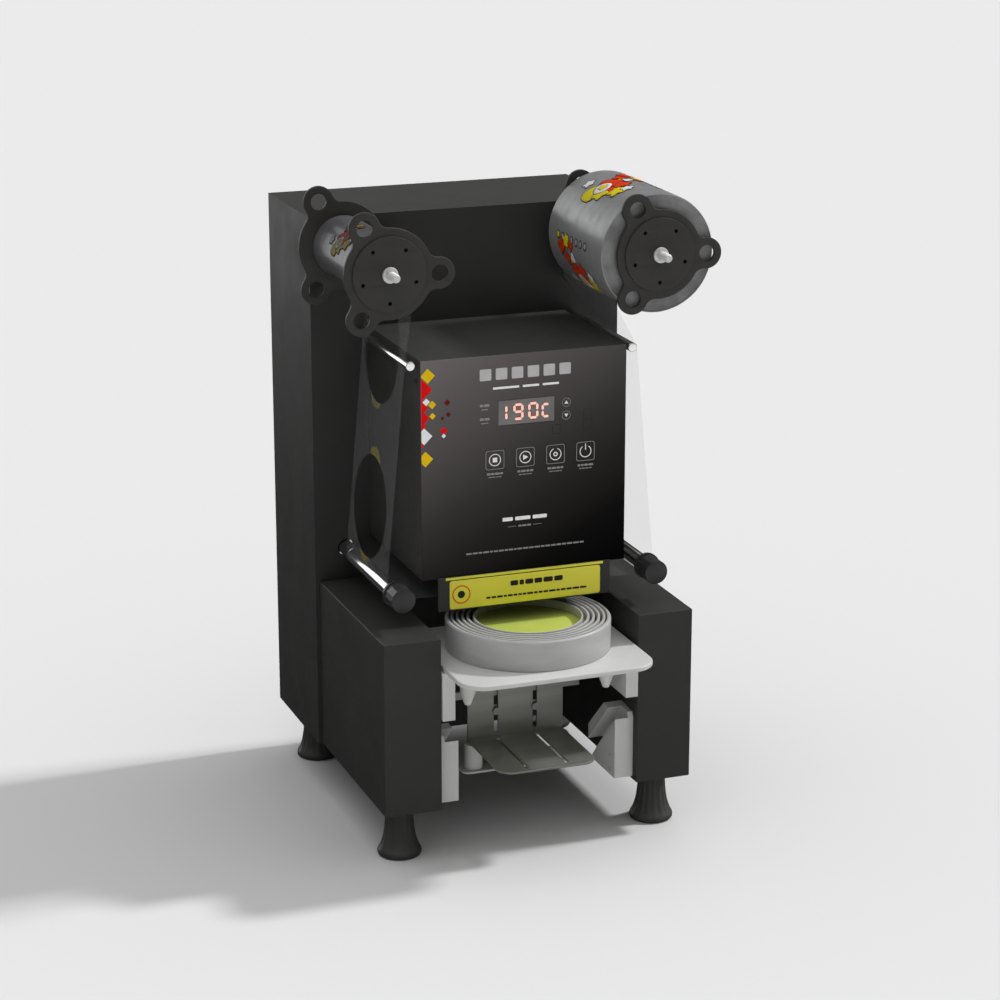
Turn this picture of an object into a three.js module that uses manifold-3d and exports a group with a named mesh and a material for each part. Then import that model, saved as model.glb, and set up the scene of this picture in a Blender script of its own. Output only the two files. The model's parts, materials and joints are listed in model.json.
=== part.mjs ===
// Cup sealing machine: a counter-top machine that seals printed film onto a filled cup.
// Units are millimetres and +Z is up. The machine is drawn with x = 0 on its middle plane,
// y = 0 on the column's front face (-Y faces the user) and z = 0 on the worktop, and the
// whole group is then shifted so that the origin is the centre of the box it stands in.

import * as THREE from 'three';
import { mergeVertices } from 'three/addons/utils/BufferGeometryUtils.js';
import Module from 'manifold-3d';

const wasm = await Module();
wasm.setup();

// ---------------------------------------------------------------- driving dimensions

const GAP = 0.3; // clearance left between pieces that touch
const SHEET = 2; // sheet metal thickness of the covers
const ROUND = 15; // curve segments of a half turn on a large round

const FOOT = { height: 50, baseRadius: 20, topRadius: 12.5, x: 123, frontY: -160, rearY: 97 };
const BASE_Z = FOOT.height; // underside of the housings

const COLUMN = { halfWidth: 150, depth: 133.5, height: 503.3 };
const ARM = { innerX: 93.4, outerX: 146.3, length: 193.3, height: 161 };
const HEAD = { halfWidth: 96.2, depth: 151, bottom: 251.6, top: 450.5 };
const PANEL = { thickness: 0.9, front: -151 };

const TRAY = { halfWidth: 91, front: -251.5, rear: -85.7, top: 184, thickness: 4.4, corner: 24 };
const CUP = { y: -160.5, hole: 44, seatTop: 212 };

const REEL = { x: 125, z: 530, discFront: -155, discThickness: 4, backFace: -16 };
const DISC = { radius: 40, lobeRadius: 14, lobeCentre: 45.7, lobeHole: 7.3, boss: 33, bossHeight: 2 };
const LOBE_ANGLES = [-2.5, 117.5, 237.5];
const SUPPLY_RADIUS = 53.5;
const TAKEUP_RADIUS = 28;
const ROLL = { front: -149.5, rear: -21.5, core: 12.7 };
const SHAFT_RADIUS = 3.7;

const ROD = { x: 104, z: 446, radius: 4.2, front: -147 };
const ROLLER = { x: 120, z: 241.4, radius: 7, front: -146, rear: 10 };
const FILM = { front: -145, rear: -25, thickness: 0.3 };

const PRESS = { y: -75.5, dieRadius: 50, dieBottom: 254, travel: 41 };
const CAM = { z: 354, smallRadius: 25, sweep: 300, dwell: 30, thickness: 8 };
const POST = { x: 80, radius: 5 };
const SCREW = { x: 52, z: 165, radius: 3, front: -124, rear: 10 };

const KEY = { size: 18, pitch: 28.6, rowX: 15.05, z: 356, depth: 4.5 };
const ROUND_KEY = { radius: 4.2, x: 39.35, upperZ: 402.6, lowerZ: 390.8 };
const DISPLAY = { x0: -24.6, x1: 28.2, z0: 386.8, z1: 409.2 };

// ---------------------------------------------------------------- materials

function finish(color, roughness, metalness) {
  return new THREE.MeshStandardMaterial({ color, roughness, metalness });
}

const blackPaint = finish(0x2b2b2a, 0.45, 0.2);
const panelGloss = finish(0x171516, 0.25, 0.0);
const whitePlastic = finish(0xdcdcdc, 0.5, 0.0);
const darkPlastic = finish(0x30302e, 0.5, 0.0);
const rubberBlack = finish(0x22261f, 0.6, 0.0);
const chromeSteel = finish(0xd8d8d8, 0.12, 1.0);
const brushedSteel = finish(0xb4b4b4, 0.35, 1.0);
const castAluminium = finish(0xa9abad, 0.4, 0.9);
const limePlastic = finish(0xd6e070, 0.45, 0.0);
const filmSilver = finish(0xb9bcbf, 0.3, 0.3);
const filmClear = finish(0xd9dcdf, 0.25, 0.0);
const boardGreen = finish(0x1f5c3a, 0.55, 0.0);
const windowGrey = finish(0x6c6a68, 0.2, 0.0);

// ---------------------------------------------------------------- geometry helpers

// A closed solid from any geometry: merged corners, no flat triangles, faces pointing out.
function solid(geometry) {
  const bare = geometry.clone();
  bare.deleteAttribute('normal');
  bare.deleteAttribute('uv');
  const merged = mergeVertices(bare, 1e-4);
  const corners = merged.attributes.position.array;
  const faces = [];
  let volume = 0;
  const point = (i) => new THREE.Vector3(corners[3 * i], corners[3 * i + 1], corners[3 * i + 2]);
  for (let t = 0; t < merged.index.count; t += 3) {
    const [a, b, c] = [0, 1, 2].map((k) => merged.index.getX(t + k));
    if (a === b || b === c || c === a) continue;
    faces.push([a, b, c]);
    volume += point(a).dot(point(b).cross(point(c)));
  }
  const ordered = volume < 0 ? faces.map(([a, b, c]) => [a, c, b]) : faces;
  const mesh = new wasm.Mesh({
    numProp: 3,
    vertProperties: new Float32Array(corners),
    triVerts: new Uint32Array(ordered.flat()),
  });
  return new wasm.Manifold(mesh);
}

function join(...solids) {
  return solids.reduce((whole, piece) => whole.add(piece));
}

function cut(body, ...tools) {
  return tools.reduce((rest, tool) => rest.subtract(tool), body);
}

// A box from its lowest to its highest corner.
function block([x0, y0, z0], [x1, y1, z1]) {
  const box = new THREE.BoxGeometry(x1 - x0, y1 - y0, z1 - z0);
  box.translate((x0 + x1) / 2, (y0 + y1) / 2, (z0 + z1) / 2);
  return solid(box);
}

// An outline drawn in (x, y), (x, z) or (y, z) and pulled along the third axis.
function prism(shape, axis, from, to, curveSegments = ROUND) {
  const depth = to - from;
  const geometry = new THREE.ExtrudeGeometry(shape, { depth, bevelEnabled: false, curveSegments });
  const [X, Y, Z] = [[1, 0, 0], [0, 1, 0], [0, 0, 1]].map((v) => new THREE.Vector3(...v));
  const turn = new THREE.Matrix4();
  if (axis === 'x') turn.makeBasis(Y, Z, X).setPosition(from, 0, 0);
  if (axis === 'y') turn.makeBasis(X, Z, Y.clone().negate()).setPosition(0, to, 0);
  if (axis === 'z') turn.setPosition(0, 0, from);
  geometry.applyMatrix4(turn);
  return solid(geometry);
}

function circle(radius, u = 0, v = 0) {
  const shape = new THREE.Shape();
  shape.absarc(u, v, radius, 0, 2 * Math.PI, false);
  return shape;
}

function cylinder(radius, axis, [u, v], from, to, curveSegments = 10) {
  return prism(circle(radius, u, v), axis, from, to, curveSegments);
}

function polygon(points) {
  return new THREE.Shape(points.map(([u, v]) => new THREE.Vector2(u, v)));
}

// A rectangle whose listed corners are rounded: lower left, lower right, upper right, upper left.
function roundedRectangle(u0, v0, u1, v1, radii) {
  const [ll, lr, ur, ul] = radii;
  const shape = new THREE.Shape();
  const quarter = Math.PI / 2;
  shape.moveTo(u0 + ll, v0);
  shape.lineTo(u1 - lr, v0);
  if (lr > 0) shape.absarc(u1 - lr, v0 + lr, lr, -quarter, 0, false);
  shape.lineTo(u1, v1 - ur);
  if (ur > 0) shape.absarc(u1 - ur, v1 - ur, ur, 0, quarter, false);
  shape.lineTo(u0 + ul, v1);
  if (ul > 0) shape.absarc(u0 + ul, v1 - ul, ul, quarter, 2 * quarter, false);
  shape.lineTo(u0, v0 + ll);
  if (ll > 0) shape.absarc(u0 + ll, v0 + ll, ll, 2 * quarter, 3 * quarter, false);
  return shape;
}

// A round piece turned from a closed (radius, height) profile, standing on Z at (x, y).
function turned(profile, [x, y], segments = 2 * ROUND) {
  const points = [...profile, profile[0]].map(([r, h]) => new THREE.Vector2(r, h));
  const geometry = new THREE.LatheGeometry(points, segments);
  geometry.rotateX(Math.PI / 2);
  geometry.translate(x, y, 0);
  return solid(geometry);
}

// The same, lying along Y with its profile heights read as y, centred on (x, z).
function turnedAlongY(profile, [x, z], segments = 2 * ROUND) {
  const points = [...profile, profile[0]].map(([r, h]) => new THREE.Vector2(r, h));
  const geometry = new THREE.LatheGeometry(points, segments);
  geometry.translate(x, 0, z);
  return solid(geometry);
}

function tube(inner, outer, z0, z1, centre) {
  return turned([[inner, z0], [outer, z0], [outer, z1], [inner, z1]], centre);
}

const machine = new THREE.Group();

function part(name, body, material) {
  const mesh = body.getMesh();
  const geometry = new THREE.BufferGeometry();
  geometry.setAttribute('position', new THREE.BufferAttribute(mesh.vertProperties, 3));
  geometry.setIndex(new THREE.BufferAttribute(mesh.triVerts, 1));
  geometry.computeVertexNormals();
  const node = new THREE.Mesh(geometry, material);
  node.name = name;
  machine.add(node);
}

const SIDES = [['left', -1], ['right', 1]];

// ---------------------------------------------------------------- housings

// The column is a folded sheet box, open at the back, with holes for what passes through it.
function columnShell() {
  const { halfWidth: w, depth, height } = COLUMN;
  const outer = block([-w, 0, BASE_Z], [w, depth, BASE_Z + height]);
  const inner = block([-w + SHEET, SHEET, BASE_Z + SHEET], [w - SHEET, depth + 1, BASE_Z + height - SHEET]);
  const hole = (radius, x, z) => cylinder(radius, 'y', [x, z], -1, SHEET + 1);
  const holes = SIDES.flatMap(([, side]) => [
    hole(SHAFT_RADIUS + 1, side * REEL.x, REEL.z),
    hole(ROLLER.radius + 0.6, side * ROLLER.x, ROLLER.z),
  ]);
  return cut(outer, inner, ...holes, hole(8, 0, CAM.z), hole(SCREW.radius + 1, SCREW.x, SCREW.z));
}

const INLET = { x: 100, z: 95, halfWidth: 15, halfHeight: 12, depth: 22 };
const ROCKER = { x: 58, z: 95, halfWidth: 7, halfHeight: 10, depth: 10, tilt: 8 };

function rearCover() {
  const w = COLUMN.halfWidth - SHEET - GAP;
  const low = BASE_Z + SHEET + GAP;
  const high = BASE_Z + COLUMN.height - SHEET - GAP;
  const front = COLUMN.depth - SHEET;
  const through = (x0, z0, x1, z1) => block([x0, front - 1, z0], [x1, COLUMN.depth + 1, z1]);
  const openings = [
    through(
      INLET.x - INLET.halfWidth - GAP, INLET.z - INLET.halfHeight - GAP,
      INLET.x + INLET.halfWidth + GAP, INLET.z + INLET.halfHeight + GAP,
    ),
    through(
      ROCKER.x - ROCKER.halfWidth - 2 * GAP, ROCKER.z - ROCKER.halfHeight - 1,
      ROCKER.x + ROCKER.halfWidth + 2 * GAP, ROCKER.z + ROCKER.halfHeight + 1,
    ),
  ];
  for (const [slotX, rows, lowestZ] of [[-70, 9, 130], [70, 9, 130], [0, 6, 430]]) {
    for (let row = 0; row < rows; row += 1) {
      const z = lowestZ + 12 * row;
      openings.push(through(slotX - 30, z, slotX + 30, z + 4));
    }
  }
  return cut(block([-w, front, low], [w, COLUMN.depth, high]), ...openings);
}

// Each arm is a sheet box, open towards the column.
function armCover(side) {
  const z1 = BASE_Z + ARM.height;
  const [x0, x1] = side < 0 ? [-ARM.outerX, -ARM.innerX] : [ARM.innerX, ARM.outerX];
  const outer = block([x0, -ARM.length, BASE_Z], [x1, -GAP, z1]);
  const inner = block([x0 + SHEET, -ARM.length + SHEET, BASE_Z + SHEET], [x1 - SHEET, 1, z1 - SHEET]);
  return cut(outer, inner);
}

function keyCentres() {
  return [0, 1, 2, 3].map((i) => KEY.rowX + (i - 1.5) * KEY.pitch);
}

// Cutters for the display and the keys, widened by a margin, through y from..to.
function panelCutters(margin, from, to) {
  const half = KEY.size / 2 + margin;
  const squares = keyCentres().map((x) => block([x - half, from, KEY.z - half], [x + half, to, KEY.z + half]));
  const rounds = [ROUND_KEY.upperZ, ROUND_KEY.lowerZ].map((z) =>
    cylinder(ROUND_KEY.radius + margin, 'y', [ROUND_KEY.x, z], from, to));
  const window = block(
    [DISPLAY.x0 - margin, from, DISPLAY.z0 - margin],
    [DISPLAY.x1 + margin, to, DISPLAY.z1 + margin],
  );
  return [...squares, ...rounds, window];
}

const HEAD_FRONT = PANEL.front + PANEL.thickness + GAP; // the shell's front, behind the panel

function headShell() {
  const w = HEAD.halfWidth;
  const outer = block([-w, HEAD_FRONT, HEAD.bottom], [w, -GAP, HEAD.top]);
  const inner = block([-w + SHEET, HEAD_FRONT + SHEET, HEAD.bottom - 1], [w - SHEET, 1, HEAD.top - SHEET]);
  return cut(outer, inner, ...panelCutters(GAP, HEAD_FRONT - 1, HEAD_FRONT + SHEET + 1));
}

function controlPanel() {
  const back = PANEL.front + PANEL.thickness;
  const plate = block([-HEAD.halfWidth, PANEL.front, HEAD.bottom], [HEAD.halfWidth, back, HEAD.top]);
  return cut(plate, ...panelCutters(GAP, PANEL.front - 1, back + 1));
}

part('column_shell', columnShell(), blackPaint);
part('rear_cover', rearCover(), blackPaint);
for (const [word, side] of SIDES) part(`arm_cover_${word}`, armCover(side), blackPaint);
part('head_shell', headShell(), blackPaint);
part('control_panel', controlPanel(), panelGloss);

// ---------------------------------------------------------------- controls

const KEY_NAMES = ['key_stop', 'key_start', 'key_mode', 'key_power'];
KEY_NAMES.forEach((name, i) => {
  const x = keyCentres()[i];
  const half = KEY.size / 2;
  const cap = block([x - half, PANEL.front, KEY.z - half], [x + half, PANEL.front + KEY.depth, KEY.z + half]);
  part(name, cap, panelGloss);
});
for (const [name, z] of [['key_up', ROUND_KEY.upperZ], ['key_down', ROUND_KEY.lowerZ]]) {
  const place = [ROUND_KEY.x, z];
  part(name, cylinder(ROUND_KEY.radius, 'y', place, PANEL.front, PANEL.front + KEY.depth), darkPlastic);
}

const BOARD_FRONT = PANEL.front + KEY.depth + 1.1; // the keys' switches are reached after their travel
part(
  'display_window',
  block([DISPLAY.x0, PANEL.front + 0.1, DISPLAY.z0], [DISPLAY.x1, BOARD_FRONT - GAP, DISPLAY.z1]),
  windowGrey,
);
part('control_board', block([-45, BOARD_FRONT, 338], [78, BOARD_FRONT + 1.6, 418]), boardGreen);

// ---------------------------------------------------------------- finger guard under the head

const GUARD = { halfWidth: 82, front: -153, back: -151.4, bottom: 221.5, top: 252.6 };
const guardPlate = block([-GUARD.halfWidth, GUARD.front, GUARD.bottom], [GUARD.halfWidth, GUARD.back, GUARD.top]);
const guardFlange = block([-GUARD.halfWidth, GUARD.back - 0.5, 249.7], [GUARD.halfWidth, -133, 251.3]);
part('finger_guard', join(guardPlate, guardFlange), blackPaint);

// ---------------------------------------------------------------- film guides

const ROLLER_CAP = { front: -171, step: -150, radius: 11, collar: 12 };
for (const [word, side] of SIDES) {
  const rod = cylinder(ROD.radius, 'y', [side * ROD.x, ROD.z], ROD.front, -GAP);
  part(`guide_rod_${word}`, rod, chromeSteel);

  const centre = [side * ROLLER.x, ROLLER.z];
  part(`roller_${word}`, cylinder(ROLLER.radius, 'y', centre, ROLLER.front, ROLLER.rear), chromeSteel);
  const cap = cylinder(ROLLER_CAP.radius, 'y', centre, ROLLER_CAP.front, ROLLER_CAP.step);
  const collar = cylinder(ROLLER_CAP.collar, 'y', centre, ROLLER_CAP.step, ROLLER.front - GAP);
  part(`roller_cap_${word}`, join(cap, collar), darkPlastic);
}

// ---------------------------------------------------------------- film reels

// A flange disc with three lobes, each with a round hole, and a raised boss on its outer face.
function reelDisc(centreX, y0, y1, bossFrom, bossTo, hubFrom, hubTo) {
  const bore = SHAFT_RADIUS + GAP;
  const disc = cylinder(DISC.radius, 'y', [centreX, REEL.z], y0, y1, ROUND);
  const boss = cylinder(DISC.boss, 'y', [centreX, REEL.z], bossFrom, bossTo, ROUND);
  const hub = cylinder(ROLL.core - GAP, 'y', [centreX, REEL.z], hubFrom, hubTo);
  const lobes = [];
  const cutters = [cylinder(bore, 'y', [centreX, REEL.z], -180, 0)];
  for (const degrees of LOBE_ANGLES) {
    const angle = THREE.MathUtils.degToRad(degrees);
    const along = [Math.cos(angle), Math.sin(angle)];
    const at = (distance, aside) => [
      centreX + distance * along[0] - aside * along[1],
      REEL.z + distance * along[1] + aside * along[0],
    ];
    const tip = at(DISC.lobeCentre, 0);
    lobes.push(cylinder(DISC.lobeRadius, 'y', tip, y0, y1));
    const root = 20; // half width of a lobe where it leaves the disc
    const neck = polygon([at(30, -root), at(DISC.lobeCentre, -DISC.lobeRadius),
      at(DISC.lobeCentre, DISC.lobeRadius), at(30, root)]);
    lobes.push(prism(neck, 'y', y0, y1));
    cutters.push(cylinder(DISC.lobeHole, 'y', tip, y0 - 5, y1 + 5, 8));
  }
  return cut(join(disc, boss, hub, ...lobes), ...cutters);
}

// The shaft carries a nut that clamps the front disc, and runs back into the column.
function reelShaft(centreX) {
  const r = SHAFT_RADIUS;
  const nutBack = REEL.discFront - DISC.bossHeight - GAP;
  const profile = [
    [0, -176], [r, -176], [r, nutBack - 2.5], [7, nutBack - 2.5], [7, nutBack], [r, nutBack], [r, 11], [0, 11],
  ];
  return turnedAlongY(profile, [centreX, REEL.z], 20);
}

function filmRoll(centreX, radius) {
  const { core, front, rear } = ROLL;
  return turnedAlongY([[core, front], [radius, front], [radius, rear], [core, rear]], [centreX, REEL.z]);
}

for (const [word, centreX, radius] of [['supply', REEL.x, SUPPLY_RADIUS], ['takeup', -REEL.x, TAKEUP_RADIUS]]) {
  const front = REEL.discFront;
  const frontInner = front + REEL.discThickness;
  const back = REEL.backFace;
  const backInner = back - REEL.discThickness;
  const frontDisc = reelDisc(
    centreX, front, frontInner, front - DISC.bossHeight, front + 1, frontInner - 1, ROLL.front + 10,
  );
  const backDisc = reelDisc(centreX, backInner, back, back - 1, back + DISC.bossHeight, ROLL.rear - 10, back - 1);
  part(`${word}_shaft`, reelShaft(centreX), brushedSteel);
  part(`${word}_front_disc`, frontDisc, darkPlastic);
  part(`${word}_back_disc`, backDisc, darkPlastic);
  part(`${word}_film_roll`, filmRoll(centreX, radius), filmSilver);
}

// The film runs tangent to each guide in turn. A guide is [x, z, radius, side], and side is
// +1 when the guide lies to the left of the film's travel and -1 when it lies to the right.
function filmGuides() {
  const clear = GAP + FILM.thickness / 2;
  return [
    [REEL.x, REEL.z, SUPPLY_RADIUS + clear, 1],
    [ROD.x, ROD.z, ROD.radius + clear, -1],
    [ROLLER.x, ROLLER.z, ROLLER.radius + clear, -1],
    [-ROLLER.x, ROLLER.z, ROLLER.radius + clear, -1],
    [-ROD.x, ROD.z, ROD.radius + clear, -1],
    [-REEL.x, REEL.z, TAKEUP_RADIUS + clear, 1],
  ];
}

// Points down the middle of the film, each with the film's direction there as an angle.
function filmPath() {
  const guides = filmGuides();
  const headings = [];
  for (let i = 0; i + 1 < guides.length; i += 1) {
    const [x0, z0, r0, side0] = guides[i];
    const [x1, z1, r1, side1] = guides[i + 1];
    const distance = Math.hypot(x1 - x0, z1 - z0);
    const lean = Math.asin((side1 * r1 - side0 * r0) / distance);
    headings.push(Math.atan2(z1 - z0, x1 - x0) - lean);
  }
  const path = [];
  const addTangent = ([x, z, r, side], heading) => {
    path.push([x + side * r * Math.sin(heading), z - side * r * Math.cos(heading), heading]);
  };
  guides.forEach((guide, i) => {
    const from = headings[Math.max(i - 1, 0)];
    const to = headings[Math.min(i, headings.length - 1)];
    const turn = Math.atan2(Math.sin(to - from), Math.cos(to - from));
    const steps = Math.max(1, Math.ceil(Math.abs(turn) / 0.26));
    if (from === to) addTangent(guide, from);
    else for (let k = 0; k <= steps; k += 1) addTangent(guide, from + (turn * k) / steps);
  });
  return path;
}

function filmWeb() {
  const half = FILM.thickness / 2;
  const side = (offset) => filmPath().map(([x, z, heading]) => [
    x - offset * Math.sin(heading),
    z + offset * Math.cos(heading),
  ]);
  return prism(polygon([...side(half), ...side(-half).reverse()]), 'y', FILM.front, FILM.rear);
}

part('film_web', filmWeb(), filmClear);

// ---------------------------------------------------------------- sliding cup tray

function trayPlate() {
  const { halfWidth: w, front, rear, top, thickness, corner } = TRAY;
  const outline = roundedRectangle(-w, front, w, rear, [corner, corner, 3, 3]);
  const plate = prism(outline, 'z', top - thickness, top, 8);
  return cut(plate, cylinder(CUP.hole, 'z', [0, CUP.y], top - 10, top + 10, ROUND));
}

part('tray_plate', trayPlate(), whitePlastic);

// Nested rings, one for each cup size. The outer five stand on the tray, and the smallest, the
// 95 mm seat, stands on a lime insert that closes the tray's hole and lifts out with it.
const RING_WALLS = [[71, 74.4], [66.9, 69.3], [62.2, 64.6], [57.5, 59.9], [52.8, 55.2], [47.7, 49.5]];
const INSERT = { radius: 52.3, wall: 2, top: 204 };
RING_WALLS.forEach(([inner, outer], i) => {
  const foot = outer < INSERT.radius ? INSERT.top : TRAY.top;
  part(`cup_ring_${i + 1}`, tube(inner, outer, foot + GAP, CUP.seatTop, [0, CUP.y]), whitePlastic);
});

function cupInsert() {
  const { radius, wall, top } = INSERT;
  const foot = TRAY.top + GAP;
  const profile = [
    [0, top - wall], [radius - wall, top - wall], [radius - wall, foot], [radius, foot], [radius, top], [0, top],
  ];
  return turned(profile, [0, CUP.y]);
}

part('cup_disc', cupInsert(), limePlastic);

// The hanger is the frame under the tray: a plate, two tapered locating pegs, the nut of the
// drive screw, and a spine with a cross bar and a tab, whose two headed studs guide the lifter.
const LIFTER = { halfWidth: 46.5, back: -127, front: -218, shelfTop: 87, top: 158, thickness: 2 };
const STUD = { x: 19, z: 112, radius: 1.6, headRadius: 3.4 };

function trayHanger() {
  const top = TRAY.top - TRAY.thickness - GAP;
  const frame = prism(roundedRectangle(-74, -197, 74, -96, [6, 6, 6, 6]), 'z', top - 3, top, 6);
  const plate = cut(frame, cylinder(52, 'z', [0, CUP.y], top - 5, top + 5, ROUND));
  const pegs = SIDES.map(([, side]) =>
    turned([[0, 144], [3, 144], [7, 155], [7, top - 1], [0, top - 1]], [side * 66, -185], 20));
  const face = LIFTER.back + GAP;
  const yoke = block([-60, face, top - 14], [60, face + 2, top - 1]);
  const spine = block([-12, face, 100], [12, face + 2, top - 1]);
  const tab = block([-24, face, STUD.z - 5], [24, face + 2, STUD.z + 5]);
  const bar = block([-63.5, face, 126], [63.5, face + 4.5, 133]);
  const nut = block([SCREW.x - 7, LIFTER.back, SCREW.z - 7], [SCREW.x + 7, LIFTER.back + 16, top - 1]);
  const studs = SIDES.flatMap(([, side]) => {
    const place = [side * STUD.x, STUD.z];
    const headBack = LIFTER.back - LIFTER.thickness - GAP;
    return [
      cylinder(STUD.radius, 'y', place, headBack - 1, LIFTER.back + 1, 8),
      cylinder(STUD.headRadius, 'y', place, headBack - 2, headBack, 8),
    ];
  });
  const screwHole = cylinder(SCREW.radius + GAP, 'y', [SCREW.x, SCREW.z], LIFTER.back - 2, LIFTER.back + 20);
  return cut(join(plate, ...pegs, yoke, spine, tab, bar, nut, ...studs), screwHole);
}

part('tray_hanger', trayHanger(), whitePlastic);

// ---------------------------------------------------------------- cup lifter

function lifterPlate() {
  const { halfWidth: w, back, front, shelfTop, top, thickness } = LIFTER;
  const wall = block([-w, back - thickness, shelfTop - thickness], [w, back, top]);
  const outline = roundedRectangle(-w, front, w, back, [14, 14, 0, 0]);
  const shelf = prism(outline, 'z', shelfTop - thickness, shelfTop, 6);
  const slots = SIDES.flatMap(([, side]) => [
    block([side * STUD.x - 2, back - 3, 91], [side * STUD.x + 2, back + 1, 152]),
    block([side * STUD.x - 1.7, -211, shelfTop - 3], [side * STUD.x + 1.7, -134, shelfTop + 1]),
  ]);
  return cut(join(wall, shelf), ...slots);
}

function lifterBase() {
  const plate = prism(roundedRectangle(-55, -143, 55, -106, [8, 8, 8, 8]), 'z', 59, 61, 6);
  const postTop = LIFTER.shelfTop - LIFTER.thickness - GAP;
  const posts = SIDES.map(([, side]) => cylinder(8.3, 'z', [side * 42, -132], 60, postTop));
  return join(plate, ...posts);
}

part('lifter_plate', lifterPlate(), brushedSteel);
part('lifter_base', lifterBase(), whitePlastic);

// ---------------------------------------------------------------- rails and cam brackets

const RAIL = { innerX: 81.3, outerX: ARM.innerX - GAP, front: -195.5, rear: -2, bottom: 134.5 };
const BRACKET = { innerX: 75.2, stepX: 88, outerX: ARM.innerX - GAP };

// Side views of a cam bracket, as (y, z). The wall stands against the arm. The rail and the heel
// stand on it towards the bay, and the 45 degree way between them is where the lifter's pin runs.
const BRACKET_FOOT = [[-149, 76], [-131, 57], [-134, 53.8]];
const BRACKET_SLOPE = [[-158, 118], [-121.5, 84.5], [-121.5, 70]];
const BRACKET_BACK = [[-185.5, 53.8], [-185.5, 111]];
const BRACKET_WALL = [...BRACKET_BACK, [-183, 116], ...BRACKET_SLOPE, [-147.5, 79.5], ...BRACKET_FOOT];
const BRACKET_RAIL = [[-169.5, 117], ...BRACKET_SLOPE];
const BRACKET_HEEL = [...BRACKET_BACK, ...BRACKET_FOOT];
const BRACKET_SCREWS = [[-173.5, 73.7], [-173.5, 58.8]];

for (const [word, side] of SIDES) {
  const railX = [side * RAIL.innerX, side * RAIL.outerX].sort((a, b) => a - b);
  const railTop = TRAY.top - TRAY.thickness - GAP;
  part(
    `tray_rail_${word}`,
    block([railX[0], RAIL.front, RAIL.bottom], [railX[1], RAIL.rear, railTop]),
    whitePlastic,
  );

  const blockX = [side * BRACKET.innerX, side * (BRACKET.stepX + 1)].sort((a, b) => a - b);
  const wallX = [side * BRACKET.stepX, side * BRACKET.outerX].sort((a, b) => a - b);
  const holeX = [side * (BRACKET.innerX - 1), side * (BRACKET.innerX + 8)].sort((a, b) => a - b);
  const wall = prism(polygon(BRACKET_WALL), 'x', wallX[0], wallX[1]);
  const blocks = [BRACKET_RAIL, BRACKET_HEEL].map((view) => prism(polygon(view), 'x', blockX[0], blockX[1]));
  const screwHoles = BRACKET_SCREWS.map((place) => cylinder(1.9, 'x', place, holeX[0], holeX[1], 10));
  part(`cam_bracket_${word}`, cut(join(wall, ...blocks), ...screwHoles), whitePlastic);
}

// ---------------------------------------------------------------- feet

const footProfile = [
  [0, 0], [17.5, 0], [19.6, 1.5], [FOOT.baseRadius, 5], [18.2, 10], [15.5, 18],
  [13.6, 28], [12.8, 40], [FOOT.topRadius, BASE_Z - GAP], [0, BASE_Z - GAP],
];
for (const [word, side] of SIDES) {
  for (const [place, y] of [['front', FOOT.frontY], ['rear', FOOT.rearY]]) {
    part(`foot_${place}_${word}`, turned(footProfile, [side * FOOT.x, y], 20), rubberBlack);
  }
}

// ---------------------------------------------------------------- press inside the head

function pressFrame() {
  const top = HEAD.top - SHEET - GAP;
  const plate = block([-90, PRESS.y - 24, top - 4], [90, PRESS.y + 24, top]);
  const posts = SIDES.map(([, side]) => cylinder(POST.radius, 'z', [side * POST.x, PRESS.y], 256, top - 2));
  return join(plate, ...posts);
}

// The crosshead slides on the posts, and its round-topped shoe bears on the cam.
const SHOE = { radius: 8, gap: 0.8 };
const CROSSHEAD = { bottom: 300, top: 308 };

function crosshead() {
  const plate = block([-90, PRESS.y - 16, CROSSHEAD.bottom], [90, PRESS.y + 16, CROSSHEAD.top]);
  const shoeZ = CAM.z - CAM.smallRadius - SHOE.gap - SHOE.radius;
  const shoe = cylinder(SHOE.radius, 'y', [0, shoeZ], PRESS.y - 6, PRESS.y + 6);
  const neck = block([-SHOE.radius, PRESS.y - 6, CROSSHEAD.top - 1], [SHOE.radius, PRESS.y + 6, shoeZ]);
  const holes = SIDES.map(([, side]) =>
    cylinder(POST.radius + GAP, 'z', [side * POST.x, PRESS.y], CROSSHEAD.bottom - 1, CROSSHEAD.top + 1));
  return cut(join(plate, shoe, neck), ...holes);
}

function heaterBlock() {
  const shoulder = PRESS.dieBottom + 28;
  const profile = [
    [0, PRESS.dieBottom], [PRESS.dieRadius - GAP, PRESS.dieBottom], [PRESS.dieRadius - GAP, shoulder],
    [9, shoulder], [9, CROSSHEAD.bottom - GAP], [0, CROSSHEAD.bottom - GAP],
  ];
  return turned(profile, [0, PRESS.y]);
}

// The cam's radius grows evenly with its angle, so the press sinks in step with its turning.
// After the sweep it falls back, and it keeps its small radius through the dwell before the start.
function pressCam() {
  const outline = [];
  const stepDegrees = 6;
  const fall = 360 - CAM.sweep - CAM.dwell;
  for (let degrees = 0; degrees < 360; degrees += stepDegrees) {
    const risen = Math.min(degrees, CAM.sweep) / CAM.sweep;
    const fallen = Math.min(1, Math.max(0, degrees - CAM.sweep) / fall);
    const lift = PRESS.travel * risen * (1 - fallen);
    const angle = THREE.MathUtils.degToRad(degrees);
    const radius = CAM.smallRadius + lift;
    outline.push([radius * Math.sin(angle), CAM.z - radius * Math.cos(angle)]);
  }
  const half = CAM.thickness / 2;
  const plate = prism(polygon(outline), 'y', PRESS.y - half, PRESS.y + half);
  const shaft = cylinder(6, 'y', [0, CAM.z], PRESS.y - half - 6, 23.7);
  return join(plate, shaft);
}

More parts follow.
